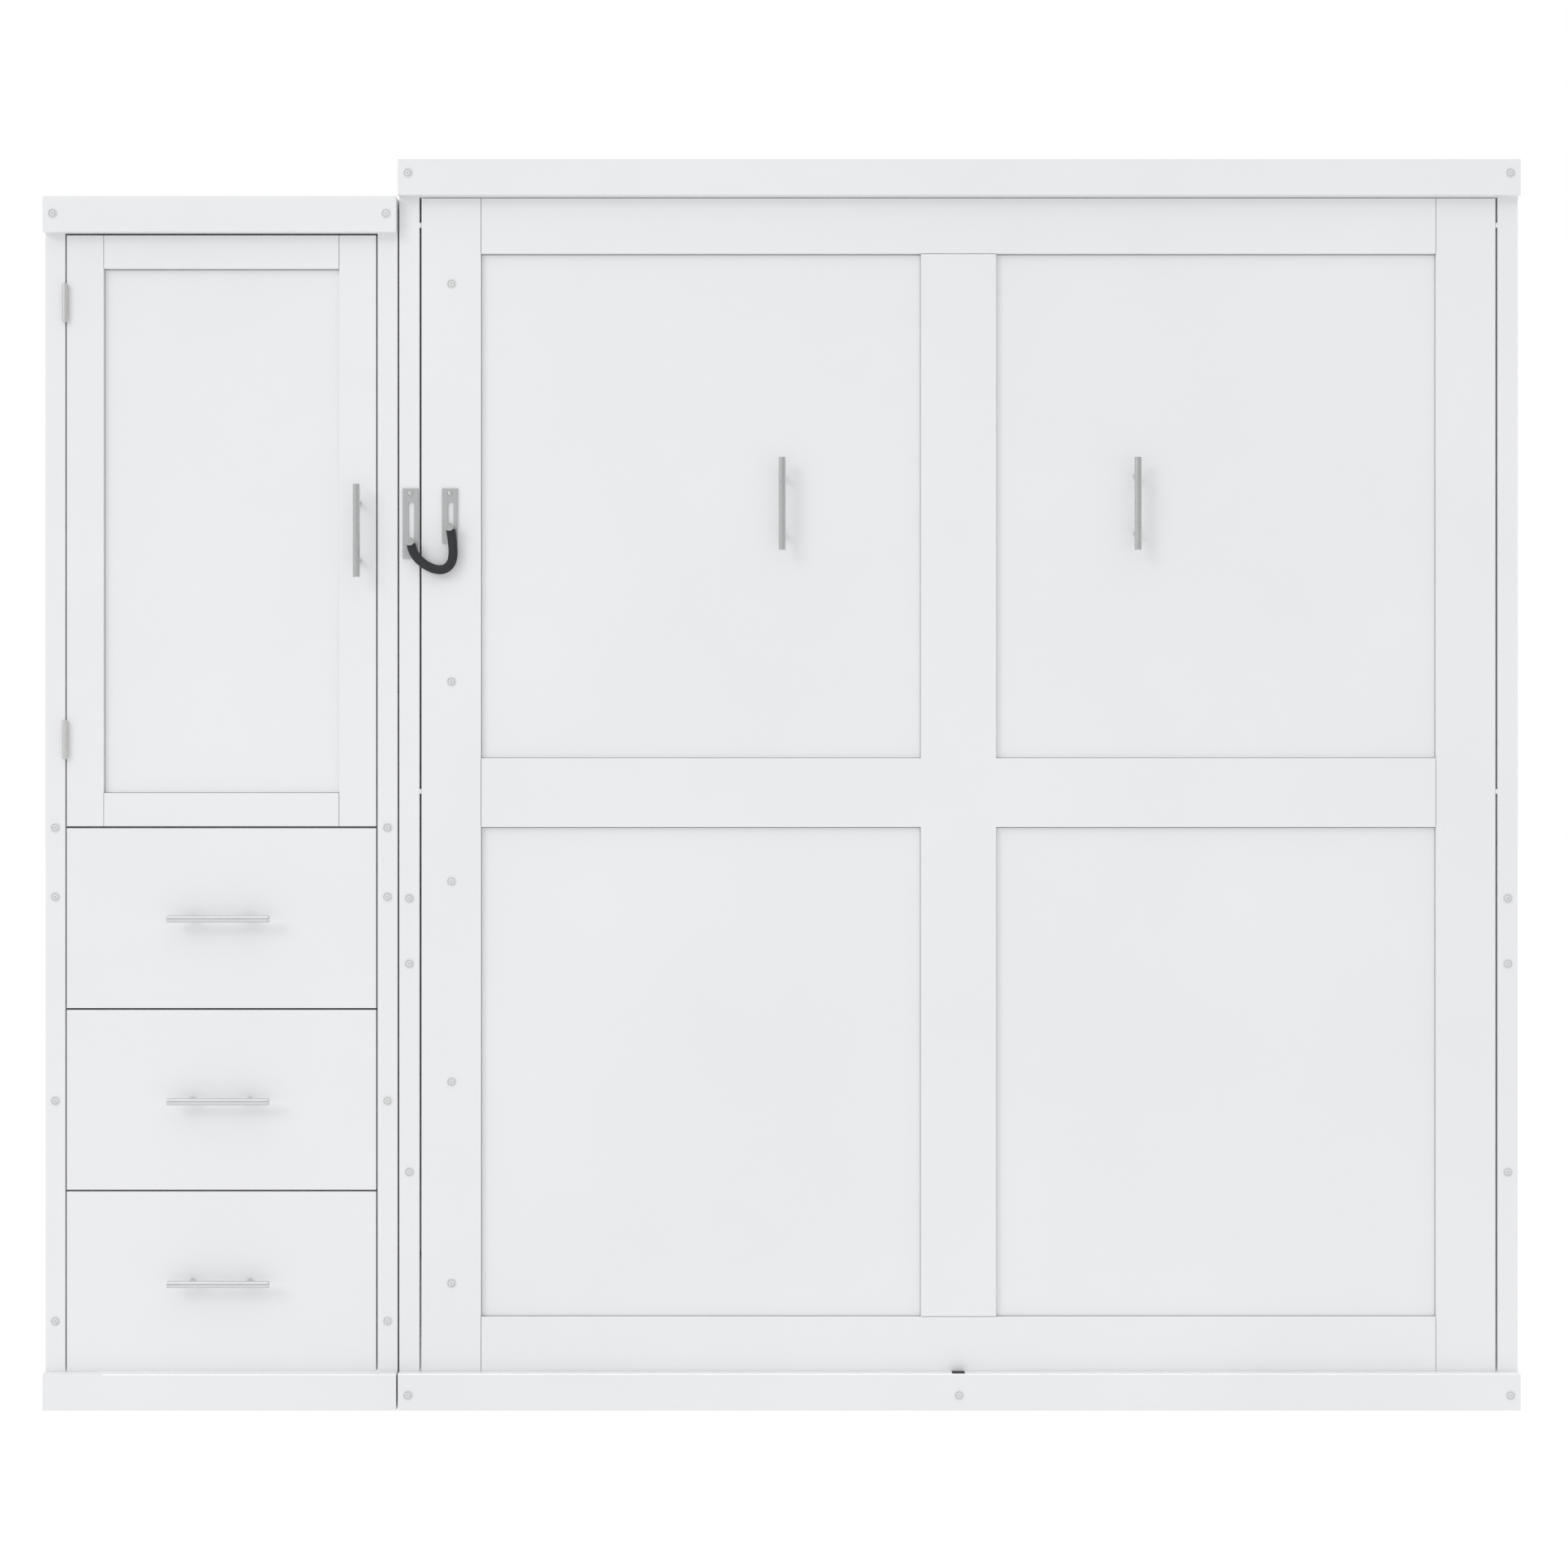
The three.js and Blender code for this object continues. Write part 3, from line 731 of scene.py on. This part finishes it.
def side_and_back_screws():
    """Capped screws down through the tops, and small ones round the back boards."""
    caps, heads = bmesh.new(), bmesh.new()
    for cabinet in CABINETS:
        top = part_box(f"{cabinet}_top")[1].z
        for side in SIDES:
            x = centre(f"{cabinet}_side_{side}").x
            for y in TOP_SCREW_PLACES:
                screw_cap(caps, (x, y, top - CAP_SINK), "+Z", scale=TOP_CAP_SCALE)
        low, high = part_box(f"{cabinet}_back")
        inner_low, inner_high = low.x + BACK_SCREW_INSET, high.x - BACK_SCREW_INSET
        down = max(2, round((high.z - low.z) / BACK_SCREW_PITCH))
        across = max(2, round((inner_high - inner_low) / BACK_SCREW_PITCH))
        heights = [
            low.z + BACK_SCREW_INSET + i * (high.z - low.z - 2 * BACK_SCREW_INSET) / down
            for i in range(down + 1)
        ]
        points = [(x, WALL_Y, z) for x in (inner_low, inner_high) for z in heights]
        points += [
            (inner_low + i * (inner_high - inner_low) / across, WALL_Y, z)
            for i in range(1, across)
            for z in (heights[0], heights[-1])
        ]
        for point in points:
            lathe(heads, BACK_SCREW_PROFILE, facing("+Y", point), sides=20)
    shown("side_screw_caps", mesh_of(caps, "side_screw_caps"), "cabinet", WHITE_CAP)
    shown("back_screws", mesh_of(heads, "back_screws"), "cabinet", ZINC)


front_screws()
plate_screws()
side_and_back_screws()


# Boards and fittings


def boards(name, body, boxes, material, bevel=0.001):
    """Several bevelled boards as one piece; each box is its two corners."""
    form = bmesh.new()
    for low, high in boxes:
        rounded_box(form, low, high, bevel)
    return shown(name, mesh_of(form, name), body, material)


INSIDE = 0.0005  # free play round a board that stands inside a cabinet
STRIP_HALF = 0.015
STRIP_PROUD = 0.0022
STRIP_SUNK = 0.0004
STRIP_ENDS = 0.004
STRIP_PLACES = (1 / 3, 2 / 3)
SHELF = {"height": 1.700, "thick": 0.018, "setback": 0.006}
TOWER_FLOOR = {"low": 0.0625, "high": 0.0780}
RAIL_DROP = 0.045  # of the hanging rail under the shelf
RAIL_RADIUS = 0.0125
RAIL_PLAY = 0.0005
FLANGE = ((0, 0), (0.022, 0), (0.022, 0.0022), (0.0205, 0.0034), (0.0155, 0.0040),
          (0.0148, 0.0110), (0, 0.0110))
SHELF_PIN = ((0, 0), (0.0025, 0), (0.0025, 0.009), (0, 0.009))
SHELF_PIN_INSET = 0.06
SHELF_PIN_DROP = 0.0026


def tower_inside():
    """The shelf on its pins, the hanging rail on two flanges, and the board under the drawers."""
    low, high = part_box("tower_divider")
    front, back = low.y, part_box("tower_back")[0].y - INSIDE
    left, right = low.x + INSIDE, high.x - INSIDE
    shelf = (
        (left, front + SHELF["setback"], SHELF["height"]),
        (right, back, SHELF["height"] + SHELF["thick"]),
    )
    floor = ((left, front, TOWER_FLOOR["low"]), (right, back, TOWER_FLOOR["high"]))
    boards("tower_shelves", "cabinet", (shelf, floor), WHITE)
    pins = bmesh.new()
    for x, axis in ((left, "+X"), (right, "-X")):
        for y in (front + SHELF_PIN_INSET, back - SHELF_PIN_INSET):
            place = facing(axis, (x, y, SHELF["height"] - SHELF_PIN_DROP))
            lathe(pins, SHELF_PIN, place, sides=20)
    middle = (front + back) / 2
    height = SHELF["height"] - RAIL_DROP
    near, far = RAIL_PLAY, right - left - RAIL_PLAY
    rail = ((0, near), (RAIL_RADIUS, near), (RAIL_RADIUS, far), (0, far))
    lathe(pins, rail, facing("+X", (left, middle, height)), sides=48)
    lathe(pins, FLANGE, facing("+X", (left, middle, height)), sides=48)
    lathe(pins, FLANGE, facing("-X", (right, middle, height)), sides=48)
    shown("hanging_rail", mesh_of(pins, "hanging_rail"), "cabinet", NICKEL)


def back_strips():
    """Joining strips down the bed cabinet's back board."""
    low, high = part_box("bed_back")
    boxes = []
    for share in STRIP_PLACES:
        x = low.x + share * (high.x - low.x)
        boxes.append((
            (x - STRIP_HALF, WALL_Y - STRIP_SUNK, STRIP_ENDS),
            (x + STRIP_HALF, WALL_Y + STRIP_PROUD, high.z - STRIP_ENDS),
        ))
    boards("back_strips", "cabinet", boxes, WHITE_CAP, bevel=0.0006)


HINGE_RADIUS = 0.0047
LEAF_GAUGE = 0.0007
LEAF_BACK = -0.206
LEAF_CLEAR = 0.0001
KNUCKLE_SHARES = (-0.34, 0.34)  # of the barrel's half height, where its knuckles meet
KNUCKLE = {"inner": HINGE_RADIUS - 0.0003, "outer": HINGE_RADIUS + 0.00006, "half": 0.00025}
KNUCKLE_LINE = (
    (KNUCKLE["inner"], -KNUCKLE["half"]), (KNUCKLE["outer"], -KNUCKLE["half"]),
    (KNUCKLE["outer"], KNUCKLE["half"]), (KNUCKLE["inner"], KNUCKLE["half"]),
)
FINIAL = (
    (0, -0.0002), (0.0040, -0.0002), (0.0044, 0.0006), (0.0036, 0.0016), (0.0016, 0.0022),
    (0, 0.0022),
)


def hinge_details():
    """The leaves on the tower, with the lines between knuckles and the pins' rounded ends."""
    leaves, lines, ends = bmesh.new(), bmesh.new(), bmesh.new()
    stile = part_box("tower_stile_left")[1].x
    for place in ("top", "bottom"):
        low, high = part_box(f"door_hinge_{place}")
        axis = Vector((low.x + HINGE_RADIUS, low.y + HINGE_RADIUS, 0))
        near = stile + LEAF_CLEAR
        leaf = ((near, axis.y, low.z), (near + LEAF_GAUGE, LEAF_BACK, high.z))
        rounded_box(leaves, *leaf, 0.0002)
        half, middle = (high.z - low.z) / 2, (high.z + low.z) / 2
        for share in KNUCKLE_SHARES:
            place = Matrix.Translation((axis.x, axis.y, middle + share * half))
            ring(lines, KNUCKLE_LINE, place)
        lathe(ends, FINIAL, facing("+Z", (axis.x, axis.y, high.z)), sides=32)
        lathe(ends, FINIAL, facing("-Z", (axis.x, axis.y, low.z)), sides=32)
    for name, form, body, material in (
        ("hinge_leaves", leaves, "cabinet", NICKEL),
        ("hinge_knuckle_lines", lines, "door", ZINC),
        ("hinge_pin_ends", ends, "door", NICKEL),
    ):
        shown(name, mesh_of(form, name), body, material)


CATCH = {
    "x": 0.297, "half": 0.0105, "height": 0.0014, "sunk": 0.0002, "front": 0.0004, "back": 0.001,
}
# Painted highlight: a thin bright strip along the top of each base board's front; the tower's
# starts further in
HIGHLIGHT_BAND = {"height": 0.0024, "proud": 0.0003, "inset": 0.0002}
HIGHLIGHT_BAND_STARTS = {"bed": 0.0002, "tower": 0.099}  # from the base board's left end
BUMPER_HEIGHTS = (1.993, 1.039)
BUMPER_HALF = 0.004
BUMPER_DEPTHS = (0.001, 0.009)  # behind the faces
BUMPER_CLEAR = {"stile": 0.0002, "front": 0.0006}
STOP_CLEAR = 0.0014  # over the folding front's top edge
STOP_FRONT = 0.0002  # behind the faces


def front_fittings():
    """Catch, painted highlight along the base boards' top edges, stop over the folding front,
    bumpers beside it.
    """
    low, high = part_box("bed_base")
    catch = (
        (CATCH["x"] - CATCH["half"], low.y + CATCH["front"], high.z - CATCH["sunk"]),
        (CATCH["x"] + CATCH["half"], high.y - CATCH["back"], high.z + CATCH["height"]),
    )
    boards("base_catch", "cabinet", (catch,), BLACK, bevel=0.0004)
    # Painted highlight along the top of each base board's front
    bands = []
    for cabinet, start in HIGHLIGHT_BAND_STARTS.items():
        low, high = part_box(f"{cabinet}_base")
        bands.append((
            (low.x + start, low.y - HIGHLIGHT_BAND["proud"], high.z - HIGHLIGHT_BAND["height"]),
            (high.x - HIGHLIGHT_BAND["inset"], low.y + HIGHLIGHT_BAND["proud"], high.z - HIGHLIGHT_BAND["inset"]),
        ))
    boards("base_painted_highlights", "cabinet", bands, HIGHLIGHT_PAINT, bevel=HIGHLIGHT_BAND["proud"] / 2)
    edges = {"left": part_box("bed_stile_left")[1].x, "right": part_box("bed_stile_right")[0].x}
    back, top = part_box("bed_stile_right")[1].yz
    stop = (
        (edges["left"] + INSIDE, FACE_Y + STOP_FRONT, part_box("face_panel")[1].z + STOP_CLEAR),
        (edges["right"] - INSIDE, back, top - INSIDE),
    )
    boards("top_stop", "cabinet", (stop,), WHITE, bevel=0.0005)
    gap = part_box("face_stile_left")[0].x - edges["left"]
    front, back = (FACE_Y + depth for depth in BUMPER_DEPTHS)
    boxes = []
    for side, x in edges.items():
        inwards = -SIDES[side]
        left, right = sorted((
            x - inwards * BUMPER_CLEAR["stile"], x + inwards * (gap - BUMPER_CLEAR["front"])
        ))
        for z in BUMPER_HEIGHTS:
            boxes.append(((left, front, z - BUMPER_HALF), (right, back, z + BUMPER_HALF)))
    boards("front_bumpers", "cabinet", boxes, WHITE_CAP, bevel=0.0005)


SLAT_COUNT = 14
SLAT_WIDTH = 0.090
SLAT_GAUGE = 0.0095
HOLDER = {"length": 0.036, "skin": 0.0008, "past": 0.0012}


def slat_holders():
    """The plastic shoe round each end of each slat."""
    low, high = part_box("slat_deck")
    pitch = (high.z - low.z - SLAT_WIDTH) / (SLAT_COUNT - 1)
    front, back = high.y - SLAT_GAUGE - HOLDER["skin"], high.y + HOLDER["skin"]
    spans = (
        (low.x - HOLDER["past"], low.x + HOLDER["length"]),
        (high.x - HOLDER["length"], high.x + HOLDER["past"]),
    )
    boxes = []
    for i in range(SLAT_COUNT):
        bottom = low.z + i * pitch - HOLDER["skin"]
        top = bottom + SLAT_WIDTH + 2 * HOLDER["skin"]
        boxes += [((left, front, bottom), (right, back, top)) for left, right in spans]
    boards("slat_holders", "bed", boxes, BLACK)


STRUT_TOP = {"y": -0.0730, "z": 0.8300}
STRUT_FOOT = {"y": -0.0705, "z": 0.17005}
STRUT_END = 0.505  # from the upper stud to the cylinder's lower end
STRUT_COLLAR = ((0.0052, -0.004), (0.0124, -0.004), (0.0128, -0.002), (0.0128, 0.012),
                (0.0122, 0.0135), (0.0118, 0.0135), (0.0118, 0.0), (0.0052, 0.0))
STRUT_CUFF = ((0.0117, 0), (0.0126, 0.0006), (0.0126, 0.0084), (0.0117, 0.009))
STRUT_CUFF_PLACE = 0.030


def strut_collars():
    """A collar where the rod leaves each cylinder, and a cuff near its upper stud."""
    foot = Vector((0, STRUT_FOOT["y"], STRUT_FOOT["z"]))
    down = (foot - Vector((0, STRUT_TOP["y"], STRUT_TOP["z"]))).normalized()
    up = (-down).to_track_quat("Z", "Y").to_matrix().to_4x4()
    for side in SIDES:
        stud = Vector((centre(f"strut_cylinder_{side}").x, STRUT_TOP["y"], STRUT_TOP["z"]))
        form = bmesh.new()
        ring(form, STRUT_COLLAR, Matrix.Translation(stud + STRUT_END * down) @ up, sides=48)
        ring(form, STRUT_CUFF, Matrix.Translation(stud + STRUT_CUFF_PLACE * down) @ up, sides=48)
        name = f"strut_collars_{side}"
        shown(name, mesh_of(form, name), f"strut_{side}", BLACK)


PIVOT = {"y": -0.108, "z": 0.235, "pin": 0.0101, "washer": 0.0170, "gauge": 0.0016}
PIVOT_END = 0.8295  # from the bed's centre line
FOOT_RADIUS = 0.013
LEG_CAP = ((0.0120, 0.0002), (0.0132, -0.0001), (0.0142, 0.0012), (0.0142, 0.0090),
           (0.0134, 0.0104), (0.0120, 0.0104))


def pivot_and_leg_details():
    """A snap washer on each pivot pin's end, and a rubber cap on each foot."""
    low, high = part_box("foot_leg")
    bed_x = centre("mattress").x
    washers, caps = bmesh.new(), bmesh.new()
    profile = [(PIVOT["pin"], 0), (PIVOT["washer"], 0), (PIVOT["washer"], PIVOT["gauge"]),
               (PIVOT["pin"], PIVOT["gauge"])]
    reach = (high.x - low.x) / 2 - FOOT_RADIUS
    for sign, axis in ((-1, "-X"), (1, "+X")):
        place = facing(axis, (bed_x + sign * PIVOT_END, PIVOT["y"], PIVOT["z"]))
        ring(washers, profile, place)
        foot = (bed_x + sign * reach, high.y, low.z + FOOT_RADIUS)
        ring(caps, LEG_CAP, facing("-Y", foot), sides=48)
    shown("pivot_washers", mesh_of(washers, "pivot_washers"), "cabinet", ZINC)
    shown("leg_caps", mesh_of(caps, "leg_caps"), "leg", BLACK)


tower_inside()
back_strips()
hinge_details()
front_fittings()
slat_holders()
strut_collars()
pivot_and_leg_details()


# The mattress


MATTRESS_ROUND = 0.040
MATTRESS_SLACK = 0.009  # left for the faces to swell into
MATTRESS_CELL = 0.020
TUFTS = (5, 6)
TUFT_PINNED = 0.022  # radius of the cover that each button holds
TUFT_SPREAD = 0.090
TUFT_DIP = 0.017
SEAM_SHARE = 1.6  # of the rounding's depth, how much of the cover the piping's seam holds
SWELL_CAP = 0.0085
CLOTH_FRAMES = 20
CLOTH_PRESSURE = 4
PIPING_RADIUS = 0.0048
BUTTON = ((0, -0.004), (0.0150, -0.004), (0.0165, 0.0005), (0.0150, 0.0028), (0.0090, 0.0042),
          (0, 0.0046))


def slab(half, radius, cell):
    """A closed quad grid over a box with rounded edges, about the origin."""
    counts = [max(4, round(2 * h / cell)) for h in half]
    form = bmesh.new()
    made = {}

    def corner(index):
        if index not in made:
            point = Vector([2 * half[k] * index[k] / counts[k] - half[k] for k in range(3)])
            inner = Vector([
                max(radius - half[k], min(half[k] - radius, point[k])) for k in range(3)
            ])
            made[index] = form.verts.new(inner + radius * (point - inner).normalized())
        return made[index]

    for k in range(3):
        a, b = (k + 1) % 3, (k + 2) % 3
        for end in (0, counts[k]):
            for i in range(counts[a]):
                for j in range(counts[b]):
                    loop = []
                    for di, dj in ((0, 0), (1, 0), (1, 1), (0, 1)):
                        index = [0, 0, 0]
                        index[k], index[a], index[b] = end, i + di, j + dj
                        loop.append(corner(tuple(index)))
                    form.faces.new(loop)
    return form


def tuft_places(half):
    """The buttons' places on a face, in even rows."""
    across, up = TUFTS
    return [
        (half[0] * (2 * (i + 0.5) / across - 1), half[2] * (2 * (j + 0.5) / up - 1))
        for i in range(across)
        for j in range(up)
    ]


def tufted(mesh, half):
    """Draws both faces in round each button, and gives the vertices that buttons and seams hold."""
    seam = SEAM_SHARE * MATTRESS_ROUND * (1 - math.sqrt(0.5))
    tufts = tuft_places(half)
    held = []
    for v in mesh.vertices:
        x, y, z = v.co
        near = min(math.hypot(x - tx, z - tz) for tx, tz in tufts)
        from_edge = min(half[0] - abs(x), half[2] - abs(z))
        if half[1] - abs(y) < 0.001 and near < TUFT_SPREAD:
            v.co.y -= math.copysign(TUFT_DIP * math.cos(math.pi / 2 * near / TUFT_SPREAD) ** 2, y)
        if near < TUFT_PINNED or (half[1] - abs(y) < seam and from_edge < seam):
            held.append(v.index)
    return held


def swollen(piece, held):
    """Lets cloth pressure swell the piece between its seams and tufts, no further than the cap."""
    mesh = piece.data
    rest = [v.co.copy() for v in mesh.vertices]
    pins = piece.vertex_groups.new(name="pins")
    pins.add(held, 1.0, "REPLACE")
    cloth = piece.modifiers.new("cloth", "CLOTH")
    cloth.settings.use_pressure = True
    cloth.settings.uniform_pressure_force = CLOTH_PRESSURE
    cloth.settings.vertex_group_mass = "pins"
    cloth.settings.quality = 4
    cloth.settings.effector_weights.gravity = 0
    cloth.point_cache.frame_start = 1
    cloth.point_cache.frame_end = CLOTH_FRAMES
    scene = bpy.context.scene
    for number in range(1, CLOTH_FRAMES + 1):
        scene.frame_set(number)
    settled = piece.evaluated_get(bpy.context.evaluated_depsgraph_get())
    moved = [v.co.copy() for v in settled.data.vertices]
    piece.modifiers.remove(cloth)
    scene.frame_set(1)
    for v, start, now in zip(mesh.vertices, rest, moved):
        shift = now - start
        v.co = start + shift * min(1, SWELL_CAP / max(shift.length, 1e-9))
    piece.vertex_groups.clear()


def rounded_loop(half_x, half_z, radius, y, steps=10):
    """Points round a rectangle with rounded corners, at one depth."""
    points = []
    for quarter, (sx, sz) in enumerate(((1, 1), (-1, 1), (-1, -1), (1, -1))):
        for i in range(steps + 1):
            angle = math.pi / 2 * (quarter + i / steps)
            x = sx * (half_x - radius) + radius * math.cos(angle)
            z = sz * (half_z - radius) + radius * math.sin(angle)
            points.append(Vector((x, y, z)))
    return points


def closed_tube(form, points, radius, sides=12):
    """A closed tube round a flat loop that lies across Y."""
    rings = []
    count = len(points)
    for i, point in enumerate(points):
        along = (points[(i + 1) % count] - points[i - 1]).normalized()
        out = along.cross(Vector((0, 1, 0)))
        rings.append([
            form.verts.new(
                point + radius * (math.cos(a) * out + math.sin(a) * Vector((0, 1, 0)))
            )
            for a in (2 * math.pi * k / sides for k in range(sides))
        ])
    for i in range(count):
        here, there = rings[i], rings[(i + 1) % count]
        for k in range(sides):
            n = (k + 1) % sides
            form.faces.new((here[k], there[k], there[n], here[n]))


def mattress():
    """The cover, swollen between its seams and tufts, with its piping and buttons."""
    low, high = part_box("mattress")
    middle = (low + high) / 2
    half = list((high - low) / 2)
    half[1] -= MATTRESS_SLACK
    inner = [half[0] - MATTRESS_SLACK / 2, half[1], half[2] - MATTRESS_SLACK / 2]
    form = slab(inner, MATTRESS_ROUND, MATTRESS_CELL)
    name = "mattress_cover"
    piece = shown(name, mesh_of(form, name), "bed", TICKING)
    held = tufted(piece.data, inner)
    swollen(piece, held)
    piece.location = middle
    rounding = piece.modifiers.new("rounding", "SUBSURF")
    rounding.levels = rounding.render_levels = 1
    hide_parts("mattress")
    curve = MATTRESS_ROUND * math.sqrt(0.5)
    trim = bmesh.new()
    for sign in (-1, 1):
        loop = rounded_loop(
            inner[0] - MATTRESS_ROUND + curve, inner[2] - MATTRESS_ROUND + curve, curve,
            sign * (inner[1] - MATTRESS_ROUND + curve),
        )
        closed_tube(trim, loop, PIPING_RADIUS)
    buttons = bmesh.new()
    for sign, axis in ((-1, "-Y"), (1, "+Y")):
        for x, z in tuft_places(inner):
            lathe(buttons, BUTTON, facing(axis, (x, sign * (inner[1] - TUFT_DIP), z)), sides=24)
    place = Matrix.Translation(middle)
    for name, form in (("mattress_piping", trim), ("mattress_buttons", buttons)):
        shown(name, mesh_of(form, name), "bed", WEBBING, place)


mattress()


# Light, floor and surroundings


HORIZON_GLOW = 0.50
ZENITH_GLOW = 1.35
GLOW_SPAN = (0.25, 0.85)  # rise of the sky, from the one glow to the other
KEY_PLACE = (-15.9, -16.1, 11.9)
KEY_AIM = (0, 0, 1.0)
KEY_SIZE = 11
KEY_POWER = 1150
FLOOR_HALF = 40
FLOOR_GLOW = 0.82


def key_light():
    """One large soft light from the upper left."""
    data = bpy.data.lights.new("key", "AREA")
    data.shape = "DISK"
    data.size = KEY_SIZE
    data.energy = KEY_POWER
    lamp = bpy.data.objects.new("key", data)
    lamp.location = KEY_PLACE
    aim = Vector(KEY_AIM) - Vector(KEY_PLACE)
    lamp.rotation_euler = aim.to_track_quat("-Z", "Y").to_euler()
    bpy.context.scene.collection.objects.link(lamp)


def studio_world():
    """Light that grows from the horizon to the zenith, and plain white where it is looked at."""
    world = bpy.data.worlds.new("studio")
    world.use_nodes = True
    nodes, links = world.node_tree.nodes, world.node_tree.links
    ambient = nodes["Background"]
    ambient.inputs["Color"].default_value = (1, 1, 1, 1)
    place = nodes.new("ShaderNodeTexCoord")
    split = nodes.new("ShaderNodeSeparateXYZ")
    rise = nodes.new("ShaderNodeMapRange")
    rise.interpolation_type = "SMOOTHSTEP"
    rise.inputs["From Min"].default_value = GLOW_SPAN[0]
    rise.inputs["From Max"].default_value = GLOW_SPAN[1]
    rise.inputs["To Min"].default_value = HORIZON_GLOW
    rise.inputs["To Max"].default_value = ZENITH_GLOW
    links.new(place.outputs["Generated"], split.inputs["Vector"])
    links.new(split.outputs["Z"], rise.inputs["Value"])
    links.new(rise.outputs["Result"], ambient.inputs["Strength"])
    seen = nodes.new("ShaderNodeBackground")
    seen.inputs["Color"].default_value = (1, 1, 1, 1)
    seen.inputs["Strength"].default_value = 1.0
    mix = nodes.new("ShaderNodeMixShader")
    path = nodes.new("ShaderNodeLightPath")
    links.new(path.outputs["Is Camera Ray"], mix.inputs["Fac"])
    links.new(ambient.outputs["Background"], mix.inputs[1])
    links.new(seen.outputs["Background"], mix.inputs[2])
    links.new(mix.outputs["Shader"], nodes["World Output"].inputs["Surface"])
    bpy.context.scene.world = world


def pale_floor():
    """A floor that glows a little, so that it stays as white as the ground it runs into."""
    form = bmesh.new()
    corners = ((-1, -1), (1, -1), (1, 1), (-1, 1))
    form.faces.new([form.verts.new((FLOOR_HALF * x, FLOOR_HALF * y, 0)) for x, y in corners])
    mesh = bpy.data.meshes.new("floor")
    form.to_mesh(mesh)
    form.free()
    floor = bpy.data.objects.new("floor", mesh)
    bpy.context.scene.collection.objects.link(floor)
    glow = {"Emission_Color": (1, 1, 1, 1), "Emission_Strength": FLOOR_GLOW}
    pale = finish("pale_floor", (0.2, 0.2, 0.2), 0.9, Specular_IOR_Level=0.1, **glow)
    mesh.materials.append(pale)


studio_world()
key_light()
pale_floor()
bpy.context.scene.view_settings.view_transform = "Standard"
bpy.context.scene.view_settings.look = "None"
